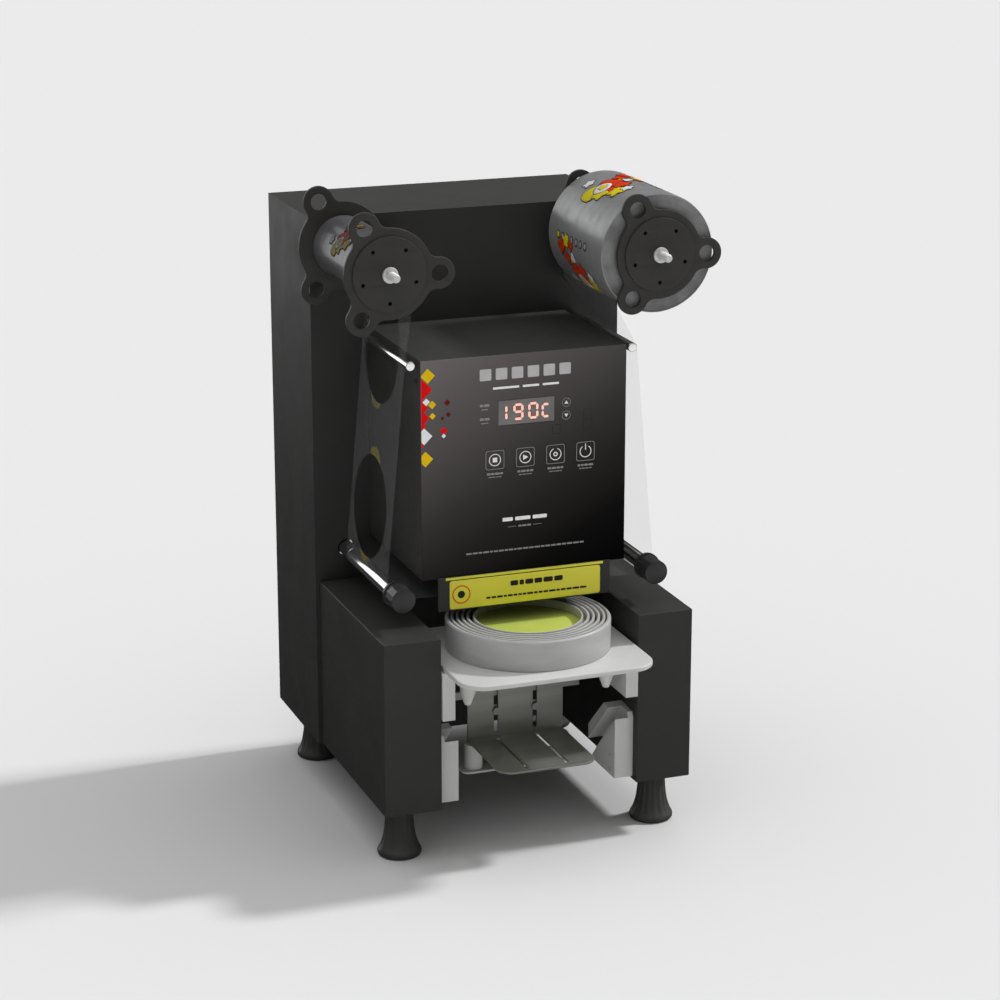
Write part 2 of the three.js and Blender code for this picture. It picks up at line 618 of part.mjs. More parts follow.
part('press_frame', pressFrame(), brushedSteel);
part('crosshead', crosshead(), castAluminium);
part('heater_block', heaterBlock(), castAluminium);
part('cutter_ring', tube(PRESS.dieRadius, 52.4, PRESS.dieBottom + 1, 280, [0, PRESS.y]), brushedSteel);
part('press_cam', pressCam(), brushedSteel);

// ---------------------------------------------------------------- drives and power

// A gear motor: a square gearbox with a round motor can behind it.
function gearMotor([x, z], halfSide, y0, y1, canRadius, y2) {
  const box = block([x - halfSide, y0, z - halfSide], [x + halfSide, y1, z + halfSide]);
  const can = cylinder(canRadius, 'y', [x, z], y1 - 1, y2);
  return join(box, can);
}

part('press_motor', gearMotor([0, CAM.z], 34, 24, 60, 24, 118), brushedSteel);
part('tray_motor', gearMotor([SCREW.x, SCREW.z], 24, 12, 45, 18, 100), brushedSteel);
part('takeup_motor', gearMotor([-REEL.x, REEL.z], 18, 12, 36, 14, 72), brushedSteel);
part('tray_screw', cylinder(SCREW.radius, 'y', [SCREW.x, SCREW.z], SCREW.front, SCREW.rear), brushedSteel);

function powerInlet() {
  const { x, z, halfWidth, halfHeight, depth } = INLET;
  const back = COLUMN.depth;
  const body = block([x - halfWidth, back - depth, z - halfHeight], [x + halfWidth, back, z + halfHeight]);
  return cut(body, block([x - 11.5, back - 16, z - 8], [x + 11.5, back + 1, z + 8]));
}

// The rocker rests tipped to its off side and turns about X.
function powerRocker() {
  const { halfWidth, halfHeight, depth, tilt } = ROCKER;
  const box = new THREE.BoxGeometry(2 * halfWidth, depth, 2 * halfHeight);
  box.rotateX(THREE.MathUtils.degToRad(-tilt));
  box.translate(ROCKER.x, COLUMN.depth - depth / 2 - 1.6, ROCKER.z);
  return solid(box);
}

part('power_inlet', powerInlet(), darkPlastic);
part('power_rocker', powerRocker(), darkPlastic);

// ---------------------------------------------------------------- origin

// The supply reel's lobe reaches further out than the take-up disc, and the tray further
// forward than the column reaches back, so the box's centre is off the middle plane.
const reachRight = REEL.x + DISC.lobeCentre * Math.cos(THREE.MathUtils.degToRad(LOBE_ANGLES[0])) + DISC.lobeRadius;
const reachLeft = REEL.x + DISC.radius;
machine.position.set((reachLeft - reachRight) / 2, (-TRAY.front - COLUMN.depth) / 2, 0);

export default machine;
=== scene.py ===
import json
import math
import random

import bmesh
import bpy
from mathutils import Matrix, Vector


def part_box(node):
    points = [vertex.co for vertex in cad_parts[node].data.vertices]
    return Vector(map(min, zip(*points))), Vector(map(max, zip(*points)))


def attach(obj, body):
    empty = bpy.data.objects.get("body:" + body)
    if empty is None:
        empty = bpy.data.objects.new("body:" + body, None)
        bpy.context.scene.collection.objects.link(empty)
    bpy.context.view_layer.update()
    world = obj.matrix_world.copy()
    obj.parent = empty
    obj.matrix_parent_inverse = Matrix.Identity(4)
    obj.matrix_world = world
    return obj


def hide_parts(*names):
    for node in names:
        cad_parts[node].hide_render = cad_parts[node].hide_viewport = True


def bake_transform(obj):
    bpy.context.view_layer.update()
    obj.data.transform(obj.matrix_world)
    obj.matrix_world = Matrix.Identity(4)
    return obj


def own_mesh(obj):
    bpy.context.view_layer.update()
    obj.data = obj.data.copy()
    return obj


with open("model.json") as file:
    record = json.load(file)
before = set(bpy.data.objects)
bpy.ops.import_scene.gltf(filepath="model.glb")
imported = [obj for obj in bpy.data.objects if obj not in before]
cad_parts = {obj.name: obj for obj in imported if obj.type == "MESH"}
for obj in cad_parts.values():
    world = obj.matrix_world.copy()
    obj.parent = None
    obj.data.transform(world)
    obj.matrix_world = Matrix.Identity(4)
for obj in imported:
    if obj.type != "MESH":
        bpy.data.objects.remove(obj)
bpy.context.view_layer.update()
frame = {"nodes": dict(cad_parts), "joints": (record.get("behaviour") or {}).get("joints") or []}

# The looks of a counter-top cup sealing machine. Lengths are in metres, and every piece takes
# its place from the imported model's nodes. MM turns a size in millimetres into metres.

MM = 0.001
random.seed(7)
SCENE = bpy.context.scene

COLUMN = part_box("column_shell")
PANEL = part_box("control_panel")
MID_X = (COLUMN[0].x + COLUMN[1].x) / 2
FACE_Y = COLUMN[0].y
SIDES = (("left", -1), ("right", 1))


def middle(node):
    low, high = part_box(node)
    return (low + high) / 2


# ---------------------------------------------------------------- materials


class Surface:
    """A node material built up from one Principled shader."""

    def __init__(self, name, color, roughness, metallic=0.0, **sockets):
        self.material = bpy.data.materials.new(name)
        self.material.use_nodes = True
        self.tree = self.material.node_tree
        self.shader = self.tree.nodes["Principled BSDF"]
        self.color, self.roughness = color, roughness
        self.put("Base Color", (*color, 1))
        self.put("Roughness", roughness)
        self.put("Metallic", metallic)
        for socket, value in sockets.items():
            self.put(socket.replace("_", " "), value)

    def put(self, socket, value):
        self.shader.inputs[socket].default_value = value
        return self

    def node(self, kind, **values):
        made = self.tree.nodes.new(kind)
        for key, value in values.items():
            if hasattr(made, key):
                setattr(made, key, value)
            else:
                made.inputs[key.replace("_", " ")].default_value = value
        return made

    def link(self, source, target):
        self.tree.links.new(source, target)

    def place(self, stretch=(1, 1, 1)):
        """Object coordinates in metres, stretched for grain that runs one way."""
        coordinates = self.node("ShaderNodeTexCoord")
        mapping = self.node("ShaderNodeMapping")
        mapping.inputs["Scale"].default_value = stretch
        self.link(coordinates.outputs["Object"], mapping.inputs["Vector"])
        return mapping.outputs["Vector"]

    def noise(self, per_metre, detail=3.0, stretch=(1, 1, 1)):
        made = self.node("ShaderNodeTexNoise", Scale=per_metre, Detail=detail)
        self.link(self.place(stretch), made.inputs["Vector"])
        return made.outputs["Fac"]

    def spread(self, factor, low, high, start=0.3, end=0.7):
        """Turns a 0..1 pattern into numbers from low to high."""
        made = self.node("ShaderNodeMapRange")
        for socket, value in (("From Min", start), ("From Max", end), ("To Min", low), ("To Max", high)):
            made.inputs[socket].default_value = value
        self.link(factor, made.inputs["Value"])
        return made.outputs["Result"]

    def mottle(self, other, per_metre, detail=3.0, start=0.35, end=0.65, stretch=(1, 1, 1)):
        """Varies the colour between the base colour and another one."""
        ramp = self.node("ShaderNodeValToRGB")
        ramp.color_ramp.elements[0].position = start
        ramp.color_ramp.elements[1].position = end
        ramp.color_ramp.elements[0].color = (*self.color, 1)
        ramp.color_ramp.elements[1].color = (*other, 1)
        self.link(self.noise(per_metre, detail, stretch), ramp.inputs["Fac"])
        self.link(ramp.outputs["Color"], self.shader.inputs["Base Color"])
        return self

    def uneven(self, amount, per_metre, stretch=(1, 1, 1)):
        """Varies the roughness by an amount either way."""
        low, high = self.roughness - amount, self.roughness + amount
        factor = self.spread(self.noise(per_metre, 4.0, stretch), max(low, 0.02), high)
        self.link(factor, self.shader.inputs["Roughness"])
        return self

    def bumpy(self, per_metre, depth, detail=2.0, stretch=(1, 1, 1), strength=1.0):
        """Raises the surface by a fine noise, depth metres high."""
        bump = self.node("ShaderNodeBump", Strength=strength, Distance=depth)
        self.link(self.noise(per_metre, detail, stretch), bump.inputs["Height"])
        self.link(bump.outputs["Normal"], self.shader.inputs["Normal"])
        return self


def panel_overlay():
    """An overlay whose colour fades from warm grey at its top left to black at its bottom right."""
    surface = Surface("panel_overlay", (0.004, 0.004, 0.004), 0.34, Specular_IOR_Level=0.02)
    split = surface.node("ShaderNodeSeparateXYZ")
    surface.link(surface.place(), split.inputs["Vector"])
    low, high = PANEL
    across = surface.spread(split.outputs["X"], 0.36, 0.0, low.x, high.x)
    upward = surface.spread(split.outputs["Z"], 0.0, 0.64, low.z, high.z)
    total = surface.node("ShaderNodeMath", operation="ADD")
    surface.link(across, total.inputs[0])
    surface.link(upward, total.inputs[1])
    ramp = surface.node("ShaderNodeValToRGB").color_ramp
    stops = ((0.0, 0.0008), (0.18, 0.007), (0.36, 0.028), (0.5, 0.055), (0.65, 0.1), (0.82, 0.15),
        (1.0, 0.22))
    for k, (position, grey) in enumerate(stops):
        element = ramp.elements[k] if k < 2 else ramp.elements.new(position)
        element.position = position
        element.color = (grey, 0.91 * grey, 0.89 * grey, 1)
    surface.link(total.outputs["Value"], surface.tree.nodes["Color Ramp"].inputs["Fac"])
    surface.link(surface.tree.nodes["Color Ramp"].outputs["Color"], surface.shader.inputs["Base Color"])
    surface.uneven(0.04, 60.0)
    return surface.bumpy(700.0, 0.00002).material


def print_ink(name, color, glow=0.0):
    """A printed colour, very slightly uneven as ink is. glow makes the ink give off a little light: a painted
    glow that lifts its colours.
    """
    surface = Surface(name, color, 0.5, Specular_IOR_Level=0.06, Emission_Strength=glow)
    surface.put("Emission Color", (*color, 1))
    surface.mottle(tuple(0.92 * part for part in color), 120.0)
    return surface.bumpy(1800.0, 0.00001).material


def see_through_ink(name, color):
    """A colour printed on the film web, where it lets some light through."""
    surface = Surface(name, color, 0.45, Alpha=0.13, Specular_IOR_Level=0.2)
    surface.mottle(tuple(0.8 * part for part in color), 60.0)
    return surface.bumpy(900.0, 0.00001).material


MAT = {
    "black": Surface("black_coat", (0.047, 0.0472, 0.0455), 0.5, Specular_IOR_Level=0.13)
        .mottle((0.05, 0.0502, 0.0485), 9.0).uneven(0.05, 30.0)
        .bumpy(1400.0, 0.00006).material,
    "panel": panel_overlay(),
    "plastic": Surface("moulded_black", (0.046, 0.044, 0.042), 0.5, Specular_IOR_Level=0.2)
        .mottle((0.05, 0.048, 0.046), 40.0).uneven(0.06, 90.0)
        .bumpy(2200.0, 0.00004).material,
    "rubber": Surface("foot_rubber", (0.062, 0.064, 0.058), 0.42, Specular_IOR_Level=0.4)
        .mottle((0.07, 0.072, 0.066), 60.0).uneven(0.08, 120.0)
        .bumpy(1600.0, 0.00005).material,
    "white": Surface("white_moulding", (0.72, 0.72, 0.71), 0.42)
        .mottle((0.66, 0.66, 0.65), 14.0).uneven(0.07, 50.0)
        .bumpy(1100.0, 0.00003).material,
    # The cup rings: the white made greyer as painted shade, brushed round by long use.
    "ring": Surface("shaded_ring_moulding", (0.54, 0.54, 0.535), 0.4, Specular_IOR_Level=0.4)
        .mottle((0.49, 0.49, 0.485), 22.0, stretch=(1, 1, 6)).uneven(0.08, 60.0)
        .bumpy(900.0, 0.00004, stretch=(1, 1, 8)).material,
    "lime": Surface("lime_plastic", (0.66, 0.76, 0.15), 0.4)
        .mottle((0.6, 0.7, 0.13), 30.0).uneven(0.06, 60.0)
        .bumpy(900.0, 0.00003).material,
    "chrome": Surface("chrome", (0.9, 0.9, 0.89), 0.15, metallic=1.0)
        .uneven(0.02, 80.0, stretch=(1, 0.1, 1)).material,
    "steel": Surface("brushed_steel", (0.52, 0.52, 0.51), 0.34, metallic=1.0)
        .mottle((0.44, 0.44, 0.43), 160.0, stretch=(1, 0.08, 1)).uneven(0.08, 260.0, stretch=(1, 0.06, 1))
        .bumpy(2600.0, 0.00002, stretch=(1, 0.05, 1)).material,
    "bright": Surface("bright_metal", (0.8, 0.8, 0.79), 0.45, metallic=0.35)
        .mottle((0.74, 0.74, 0.73), 300.0).uneven(0.06, 200.0)
        .bumpy(1600.0, 0.00002).material,
    # Satin stainless sheet with a fine grain along X.
    "lifter": Surface("lifter_steel", (0.43, 0.43, 0.41), 0.36, metallic=0.6)
        .mottle((0.37, 0.37, 0.35), 120.0, stretch=(0.05, 1, 1)).uneven(0.07, 200.0, stretch=(0.05, 1, 1))
        .bumpy(3000.0, 0.00002, stretch=(0.04, 1, 1)).material,
    "cast": Surface("cast_metal", (0.42, 0.43, 0.44), 0.5, metallic=0.9)
        .mottle((0.34, 0.35, 0.36), 70.0).uneven(0.1, 120.0)
        .bumpy(700.0, 0.00015).material,
    "board": Surface("circuit_board", (0.012, 0.1, 0.04), 0.45)
        .mottle((0.02, 0.16, 0.07), 220.0, detail=1.0)
        .bumpy(900.0, 0.00005).material,
    "window": Surface("window_tint", (0.24, 0.233, 0.23), 0.3, Specular_IOR_Level=0.2)
        .mottle((0.2, 0.195, 0.193), 26.0)
        .bumpy(500.0, 0.00001).material,
    # The glowing middle of a figure: nearly white, with a little red.
    "lit": Surface("lit_red", (0.8, 0.5, 0.42), 0.4, Emission_Strength=0.55)
        .put("Emission Color", (1.0, 0.6, 0.48, 1))
        .bumpy(1500.0, 0.00001).material,
    "label": Surface("label_yellow", (0.92, 0.86, 0.07), 0.4, Specular_IOR_Level=0.2)
        .mottle((0.86, 0.8, 0.06), 25.0).uneven(0.05, 60.0)
        .bumpy(900.0, 0.00002).material,
    # The roller caps: a smoother black that catches more light.
    "cap": Surface("satin_black", (0.035, 0.035, 0.036), 0.32, Specular_IOR_Level=0.3)
        .mottle((0.039, 0.039, 0.041), 60.0).uneven(0.05, 90.0)
        .bumpy(1800.0, 0.00003).material,
    # Thin smoky film: nearly all see-through, with soft stretch marks along it.
    "film": Surface("clear_film", (0.42, 0.425, 0.43), 0.45, Alpha=0.058, Specular_IOR_Level=0.2)
        .mottle((0.5, 0.505, 0.51), 14.0, stretch=(1, 1, 0.3))
        .uneven(0.08, 70.0)
        .bumpy(16.0, 0.0003, detail=1.0, stretch=(1, 1, 0.25)).material,
    # The outside of the fresh roll: silvery, frosted, with faint wrinkles across it.
    "roll": Surface("wound_film", (0.28, 0.282, 0.288), 0.36, metallic=0.2)
        .mottle((0.36, 0.362, 0.368), 16.0, stretch=(1, 0.35, 1), detail=4.0)
        .uneven(0.08, 60.0)
        .bumpy(40.0, 0.0004, detail=3.0, stretch=(1, 0.3, 1)).material,
    # The waste roll: few layers, so the dark core shows through it.
    "spent": Surface("spent_film", (0.075, 0.075, 0.08), 0.34, Specular_IOR_Level=0.4)
        .mottle((0.12, 0.12, 0.128), 30.0, stretch=(1, 0.4, 1), detail=4.0)
        .bumpy(60.0, 0.0005, detail=3.0, stretch=(1, 0.3, 1)).material,
    # The end of a film roll: the edges of its layers, in cloudy light and dark patches.
    "end": Surface("wound_end", (0.16, 0.16, 0.164), 0.5, metallic=0.1)
        .mottle((0.31, 0.312, 0.318), 42.0, detail=6.0, start=0.36, end=0.66)
        .bumpy(260.0, 0.0003, detail=4.0).material,
    # The red light round a figure, spread in the tinted window.
    "glow": Surface("red_glow", (0.28, 0.035, 0.03), 0.3, Emission_Strength=0.1)
        .put("Emission Color", (1.0, 0.05, 0.04, 1))
        .mottle((0.2, 0.04, 0.035), 300.0)
        .bumpy(1500.0, 0.00001).material,
    "web_yellow": see_through_ink("web_yellow", (0.75, 0.62, 0.03)),
    # ink_white, ink_title, ink_red and ink_yellow are given a painted glow: they give off a little light of
    # their own.
    "ink_white": print_ink("ink_white", (0.85, 0.85, 0.85), 0.2),
    "ink_grey": print_ink("ink_grey", (0.37, 0.37, 0.37)),
    "ink_title": print_ink("ink_title", (0.62, 0.62, 0.62), 0.05),
    "ink_faint": print_ink("ink_faint", (0.035, 0.034, 0.034)),
    "ink_dark": print_ink("ink_dark", (0.03, 0.028, 0.02)),
    "ink_red": print_ink("ink_red", (0.72, 0.003, 0.005), 0.2),
    "ink_yellow": print_ink("ink_yellow", (0.9, 0.6, 0.005), 0.1),
    "ink_orange": print_ink("ink_orange", (0.85, 0.16, 0.01)),
    "ink_deep": print_ink("ink_deep", (0.17, 0.012, 0.016)),
    "roll_yellow": print_ink("roll_yellow", (0.8, 0.66, 0.01)),
    "roll_red": print_ink("roll_red", (0.72, 0.045, 0.005)),
    "roll_white": print_ink("roll_white", (0.8, 0.8, 0.8)),
    "dull_yellow": print_ink("dull_yellow", (0.17, 0.14, 0.03)),
    "dull_red": print_ink("dull_red", (0.15, 0.035, 0.025)),
    "dull_white": print_ink("dull_white", (0.2, 0.2, 0.2)),
}

# ---------------------------------------------------------------- making pieces


def add_object(name, mesh, material):
    if material is not None:
        mesh.materials.append(material)
    made = bpy.data.objects.new(name, mesh)
    SCENE.collection.objects.link(made)
    return made


def keep(piece, body, slot, *nodes):
    """Puts a finished piece on its body and hides the nodes it stands for. slot is not used."""
    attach(piece, body)
    if nodes:
        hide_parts(*nodes)
    return piece


def smooth(mesh, degrees=32):
    for polygon in mesh.polygons:
        polygon.use_smooth = True
    mesh.set_sharp_from_angle(angle=math.radians(degrees))


def finished(shape, name, material, degrees=32):
    """Makes an object from a bmesh, smooth except where its faces meet at more than degrees."""
    mesh = bpy.data.meshes.new(name)
    shape.to_mesh(mesh)
    shape.free()
    if degrees:
        smooth(mesh, degrees)
    return add_object(name, mesh, material)


def thickened(sheet, thickness, offset=0.0):
    """Gives a sheet a thickness, evenly on both sides when offset is 0."""
    thicken = sheet.modifiers.new("thickness", "SOLIDIFY")
    thicken.thickness, thicken.offset = thickness, offset
    return sheet


def on_axle(node, axis="y"):
    """A node's box, and its middle moved to 0 along its axle."""
    low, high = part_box(node)
    place = middle(node)
    setattr(place, axis, 0)
    return low, high, place


def cleaned(mesh):
    shape = bmesh.new()
    shape.from_mesh(mesh)
    bmesh.ops.remove_doubles(shape, verts=shape.verts, dist=0.000004)
    bmesh.ops.recalc_face_normals(shape, faces=shape.faces)
    shape.to_mesh(mesh)
    shape.free()
    return mesh


def refined(node, material, width, name=None, segments=3):
    """A node's own shape with its flat faces made whole again and its edges rounded."""
    source = frame["nodes"][node].data
    mesh = bpy.data.meshes.new(name or node + "_fine")
    mesh.from_pydata([v.co for v in source.vertices], [], [list(p.vertices) for p in source.polygons])
    shape = bmesh.new()
    shape.from_mesh(mesh)
    bmesh.ops.remove_doubles(shape, verts=shape.verts, dist=0.000002)
    bmesh.ops.dissolve_limit(shape, angle_limit=math.radians(1.5), verts=shape.verts, edges=shape.edges)
    bmesh.ops.recalc_face_normals(shape, faces=shape.faces)
    shape.to_mesh(mesh)
    shape.free()
    piece = add_object(mesh.name, mesh, material)
    smooth(mesh, 30)
    bevel = piece.modifiers.new("edges", "BEVEL")
    bevel.width, bevel.segments, bevel.limit_method = width, segments, "ANGLE"
    bevel.angle_limit = math.radians(35)
    bevel.harden_normals = True
    bevel.use_clamp_overlap = True
    return piece


def fillet(points, radius, steps=4, closed=False):
    """Rounds the corners of a line of (u, v) points, where there is room."""
    count = len(points)
    rounded = []
    for i, point in enumerate(points):
        if not closed and i in (0, count - 1):
            rounded.append(point)
            continue
        here = Vector(point)
        before, after = Vector(points[i - 1]) - here, Vector(points[(i + 1) % count]) - here
        reach = min(radius, before.length * 0.45, after.length * 0.45)
        start, end = here + before.normalized() * reach, here + after.normalized() * reach
        for k in range(steps + 1):
            t = k / steps
            rounded.append(tuple(start.lerp(here, t).lerp(here.lerp(end, t), t)))
    return rounded


def turned(name, profile, place, axis, material, segments=96, flutes=None):
    """A round piece from (radius, height) points. Heights run along the axis, 'Y' or 'Z', from place.
    A profile that starts off the axis is closed on itself. flutes(angle, height) scales the radius."""
    shape = bmesh.new()
    rings = []
    for radius, height in profile:
        ring = []
        for k in range(segments if radius > 1e-7 else 1):
            angle = 2 * math.pi * k / segments
            scale = flutes(angle, height) if flutes else 1.0
            u, v = radius * scale * math.cos(angle), radius * scale * math.sin(angle)
            offset = Vector((u, height, v)) if axis == "Y" else Vector((u, v, height))
            ring.append(shape.verts.new(place + offset))
        rings.append(ring)
    pairs = list(zip(rings, rings[1:]))
    if len(rings[0]) > 1:
        pairs.append((rings[-1], rings[0]))
    for one, two in pairs:
        for k in range(segments):
            corners = [one[k % len(one)], one[(k + 1) % len(one)], two[(k + 1) % len(two)],
                two[k % len(two)]]
            corners = list(dict.fromkeys(corners))
            if len(corners) > 2:
                shape.faces.new(corners)
    bmesh.ops.recalc_face_normals(shape, faces=shape.faces)
    return finished(shape, name, material)


AXES = {
    "X": Matrix(((0, 0, 1), (1, 0, 0), (0, 1, 0))).to_4x4(),
    "Y": Matrix(((1, 0, 0), (0, 0, -1), (0, 1, 0))).to_4x4(),
    "Z": Matrix.Identity(4),
}


def signed_area(loop):
    return sum(a[0] * b[1] - b[0] * a[1] for a, b in zip(loop, [*loop[1:], loop[0]])) / 2


def plate(name, outline, holes, axis, low, high, material, edge=0.3 * MM, steps=2):
    """A flat piece with rounded edges: an outline with holes, from low to high along an axis.
    The outline's (u, v) are (y, z) for X, (x, z) for Y and (x, y) for Z."""
    curve = bpy.data.curves.new(name, "CURVE")
    curve.dimensions, curve.fill_mode = "2D", "BOTH"
    for loop, turn in [(outline, 1), *((hole, -1) for hole in holes)]:
        ordered = loop if signed_area(loop) * turn > 0 else loop[::-1]
        spline = curve.splines.new("POLY")
        spline.points.add(len(ordered) - 1)
        for point, (u, v) in zip(spline.points, ordered):
            point.co = (u, v, 0, 1)
        spline.use_cyclic_u = True
    edge = min(edge, (high - low) * 0.45)
    curve.extrude = (high - low) / 2 - edge
    curve.bevel_depth, curve.bevel_resolution, curve.offset = edge, steps, -edge
    source = bpy.data.objects.new(name + "_curve", curve)
    SCENE.collection.objects.link(source)
    mesh = bpy.data.meshes.new_from_object(source.evaluated_get(bpy.context.evaluated_depsgraph_get()))
    bpy.data.objects.remove(source)
    bpy.data.curves.remove(curve)
    mesh.name = name
    level = (low + high) / 2
    shift = {"X": (level, 0, 0), "Y": (0, level, 0),
        "Z": (0, 0, level)}[axis]
    mesh.transform(Matrix.Translation(shift) @ AXES[axis])
    mesh.materials.clear()
    cleaned(mesh)
    smooth(mesh, 28)
    return add_object(name, mesh, material)


def circle(radius, u=0.0, v=0.0, count=64):
    turns = [2 * math.pi * k / count for k in range(count)]
    return [(u + radius * math.cos(a), v + radius * math.sin(a)) for a in turns]


def rectangle(u0, v0, u1, v1, radius=0.0, steps=5):
    corners = [(u0, v0), (u1, v0), (u1, v1), (u0, v1)]
    return fillet(corners, radius, steps, closed=True) if radius else corners


def joined(name, pieces):
    """One object from several, as a group that is printed or moulded together."""
    bpy.ops.object.select_all(action="DESELECT")
    for piece in pieces:
        piece.select_set(True)
    bpy.context.view_layer.objects.active = pieces[0]
    bpy.ops.object.join()
    pieces[0].name = name
    return pieces[0]


def moved(piece, matrix):
    piece.data.transform(matrix)
    return piece


def screw(name, place, facing, radius, material="bright"):
    """A pan-head screw with a cross recess. facing is the outward direction of its head."""
    size = radius * 0.62
    slot = radius * 0.15
    cross = [
        (-slot, -size), (slot, -size), (slot, -slot), (size, -slot), (size, slot), (slot, slot),
        (slot, size), (-slot, size), (-slot, slot), (-size, slot), (-size, -slot), (-slot, -slot),
    ]
    top = plate(name + "_top", circle(radius, count=40), [cross], "Z", 0.0, radius * 0.34,
        MAT[material], radius * 0.2)
    bed = plate(name + "_bed", circle(radius * 0.96, count=40), [], "Z", -radius * 0.1, radius * 0.12,
        MAT[material])
    head = joined(name, [top, bed])
    turn = Vector(facing).to_track_quat("Z", "Y").to_matrix().to_4x4()
    return moved(head, Matrix.Translation(place) @ turn)


# ---------------------------------------------------------------- housings


def housings():
    shells = (
        ("column_shell", 0.6 * MM), ("rear_cover", 0.4 * MM), ("arm_cover_left", 2.4 * MM),
        ("arm_cover_right", 2.4 * MM), ("head_shell", 1.0 * MM), ("finger_guard", 0.4 * MM),
    )
    for node, width in shells:
        keep(refined(node, MAT["black"], width), "root", "black_paint", node)
    keep(refined("control_panel", MAT["panel"], 0.25 * MM), "root", "panel_gloss", "control_panel")


def housing_screws():
    """Screws that hold the rear cover and the head."""
    low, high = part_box("rear_cover")
    inset = 9 * MM
    count = 0
    for x in (low.x + inset, high.x - inset):
        for k in range(4):
            z = low.z + inset + k * (high.z - low.z - 2 * inset) / 3
            place = Vector((x, high.y - 0.1 * MM, z))
            keep(screw(f"rear_screw_{count}", place, (0, 1, 0), 3.2 * MM), "root", "steel")
            count += 1
    head_low, head_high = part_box("head_shell")
    for word, side in SIDES:
        x = head_low.x if side < 0 else head_high.x
        for k, share in enumerate((0.12, 0.9)):
            place = Vector((x, head_low.y + 12 * MM, head_low.z + share * (head_high.z - head_low.z)))
            keep(screw(f"head_screw_{word}_{k}", place, (side, 0, 0), 2.4 * MM, "plastic"), "root",
                "steel")


# ---------------------------------------------------------------- control panel


def on_panel(across, up):
    """A point (x, z) on the panel, across from its middle and up from its lower edge, in millimetres."""
    return (PANEL[0].x + PANEL[1].x) / 2 + across * MM, PANEL[0].z + up * MM


PRINT = 0.08 * MM
PANEL_FRONT = PANEL[0].y


def printed(name, outline, holes, ink, front=None):
    """A flat printed shape, just proud of the panel's front."""
    face = PANEL_FRONT if front is None else front
    return plate(name, outline, holes, "Y", face - PRINT, face + PRINT, MAT[ink], edge=0.01 * MM, steps=0)


def text_bars(name, across, up, width, height, words, ink, front=None):
    """A row of plain bars where a line of wording would be."""
    x, z = on_panel(across, up)
    shares = [random.uniform(0.6, 1.4) for _ in range(words)]
    gap = 0.16 * width * MM / max(words, 1)
    usable = width * MM - gap * (words - 1)
    left = x - width * MM / 2
    bars = []
    for k, share in enumerate(shares):
        length = usable * share / sum(shares)
        outline = rectangle(left, z - height * MM / 2, left + length, z + height * MM / 2,
            0.25 * height * MM, 2)
        bars.append(printed(f"{name}_{k}", outline, [], ink, front))
        left += length + gap
    return joined(name, bars)


def title_blocks():
    """The heading: six plain blocks in a row."""
    blocks = []
    for k in range(6):
        x, z = on_panel(-36.6 + 14.9 * k, 182.0)
        half, rise = 5.4 * MM, 5.2 * MM
        outline = rectangle(x - half, z - rise, x + half, z + rise, 1.2 * MM, 3)
        blocks.append(printed(f"title_{k}", outline, [], "ink_title"))
    return joined("title_blocks", blocks)


def ring_outline(name, x, z, radius, line, ink, front, gap=None):
    """A printed circle line. gap opens it at the top by that half angle."""
    if gap is None:
        return printed(name, circle(radius, x, z), [circle(radius - line, x, z)], ink, front)
    turns = [math.pi / 2 + gap + (2 * math.pi - 2 * gap) * k / 40 for k in range(41)]
    outer = [(x + radius * math.cos(a), z + radius * math.sin(a)) for a in turns]
    inner = [(x + (radius - line) * math.cos(a),
        z + (radius - line) * math.sin(a)) for a in reversed(turns)]
    return printed(name, outer + inner, [], ink, front)


def key_face(node, kind):
    """A square key: its line frame and a plain generic sign for what it does."""
    low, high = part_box(node)
    x, z = (low.x + high.x) / 2, (low.z + high.z) / 2
    front = low.y - 0.02 * MM
    half = (high.x - low.x) / 2 - 0.25 * MM
    line = 0.55 * MM
    frame_line = printed(
        f"{node}_line",
        rectangle(x - half, z - half, x + half, z + half, 2.4 * MM),
        [rectangle(x - half + line, z - half + line, x + half - line, z + half - line, 2.0 * MM)],
        "ink_grey", front,
    )
    marks = [frame_line]
    radius = 5.6 * MM
    gap = {"power": 0.6, "mode": 0.35}.get(kind)
    marks.append(ring_outline(f"{node}_ring", x, z, radius, 0.75 * MM, "ink_white", front, gap))
    size = 2.1 * MM
    if kind == "stop":
        marks.append(printed(f"{node}_sign", rectangle(x - size, z - size, x + size, z + size), [],
            "ink_white", front))
    if kind == "start":
        tip = [(x - size, z - size * 1.2), (x + size * 1.3, z), (x - size, z + size * 1.2)]
        marks.append(printed(f"{node}_sign", tip, [], "ink_white", front))
    if kind == "mode":
        marks.append(printed(f"{node}_sign", circle(size, x, z), [circle(size * 0.55, x, z)],
            "ink_white", front))
    if kind == "power":
        bar = rectangle(x - 0.4 * MM, z + 1.2 * MM, x + 0.4 * MM, z + 7.0 * MM, 0.3 * MM, 2)
        marks.append(printed(f"{node}_sign", bar, [], "ink_white", front))
    return joined(f"{node}_face", marks)


def round_key_face(node, up):
    low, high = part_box(node)
    x, z = (low.x + high.x) / 2, (low.z + high.z) / 2
    front = low.y - 0.02 * MM
    radius = (high.x - low.x) / 2
    ring = ring_outline(f"{node}_ring", x, z, radius - 0.1 * MM, 0.45 * MM, "ink_grey", front)
    reach = 1.7 * MM * (1 if up else -1)
    tip = [(x - 1.9 * MM, z - reach * 0.8), (x + 1.9 * MM, z - reach * 0.8), (x, z + reach)]
    arrow = printed(f"{node}_arrow", tip, [], "ink_white", front)
    return joined(f"{node}_face", [ring, arrow])


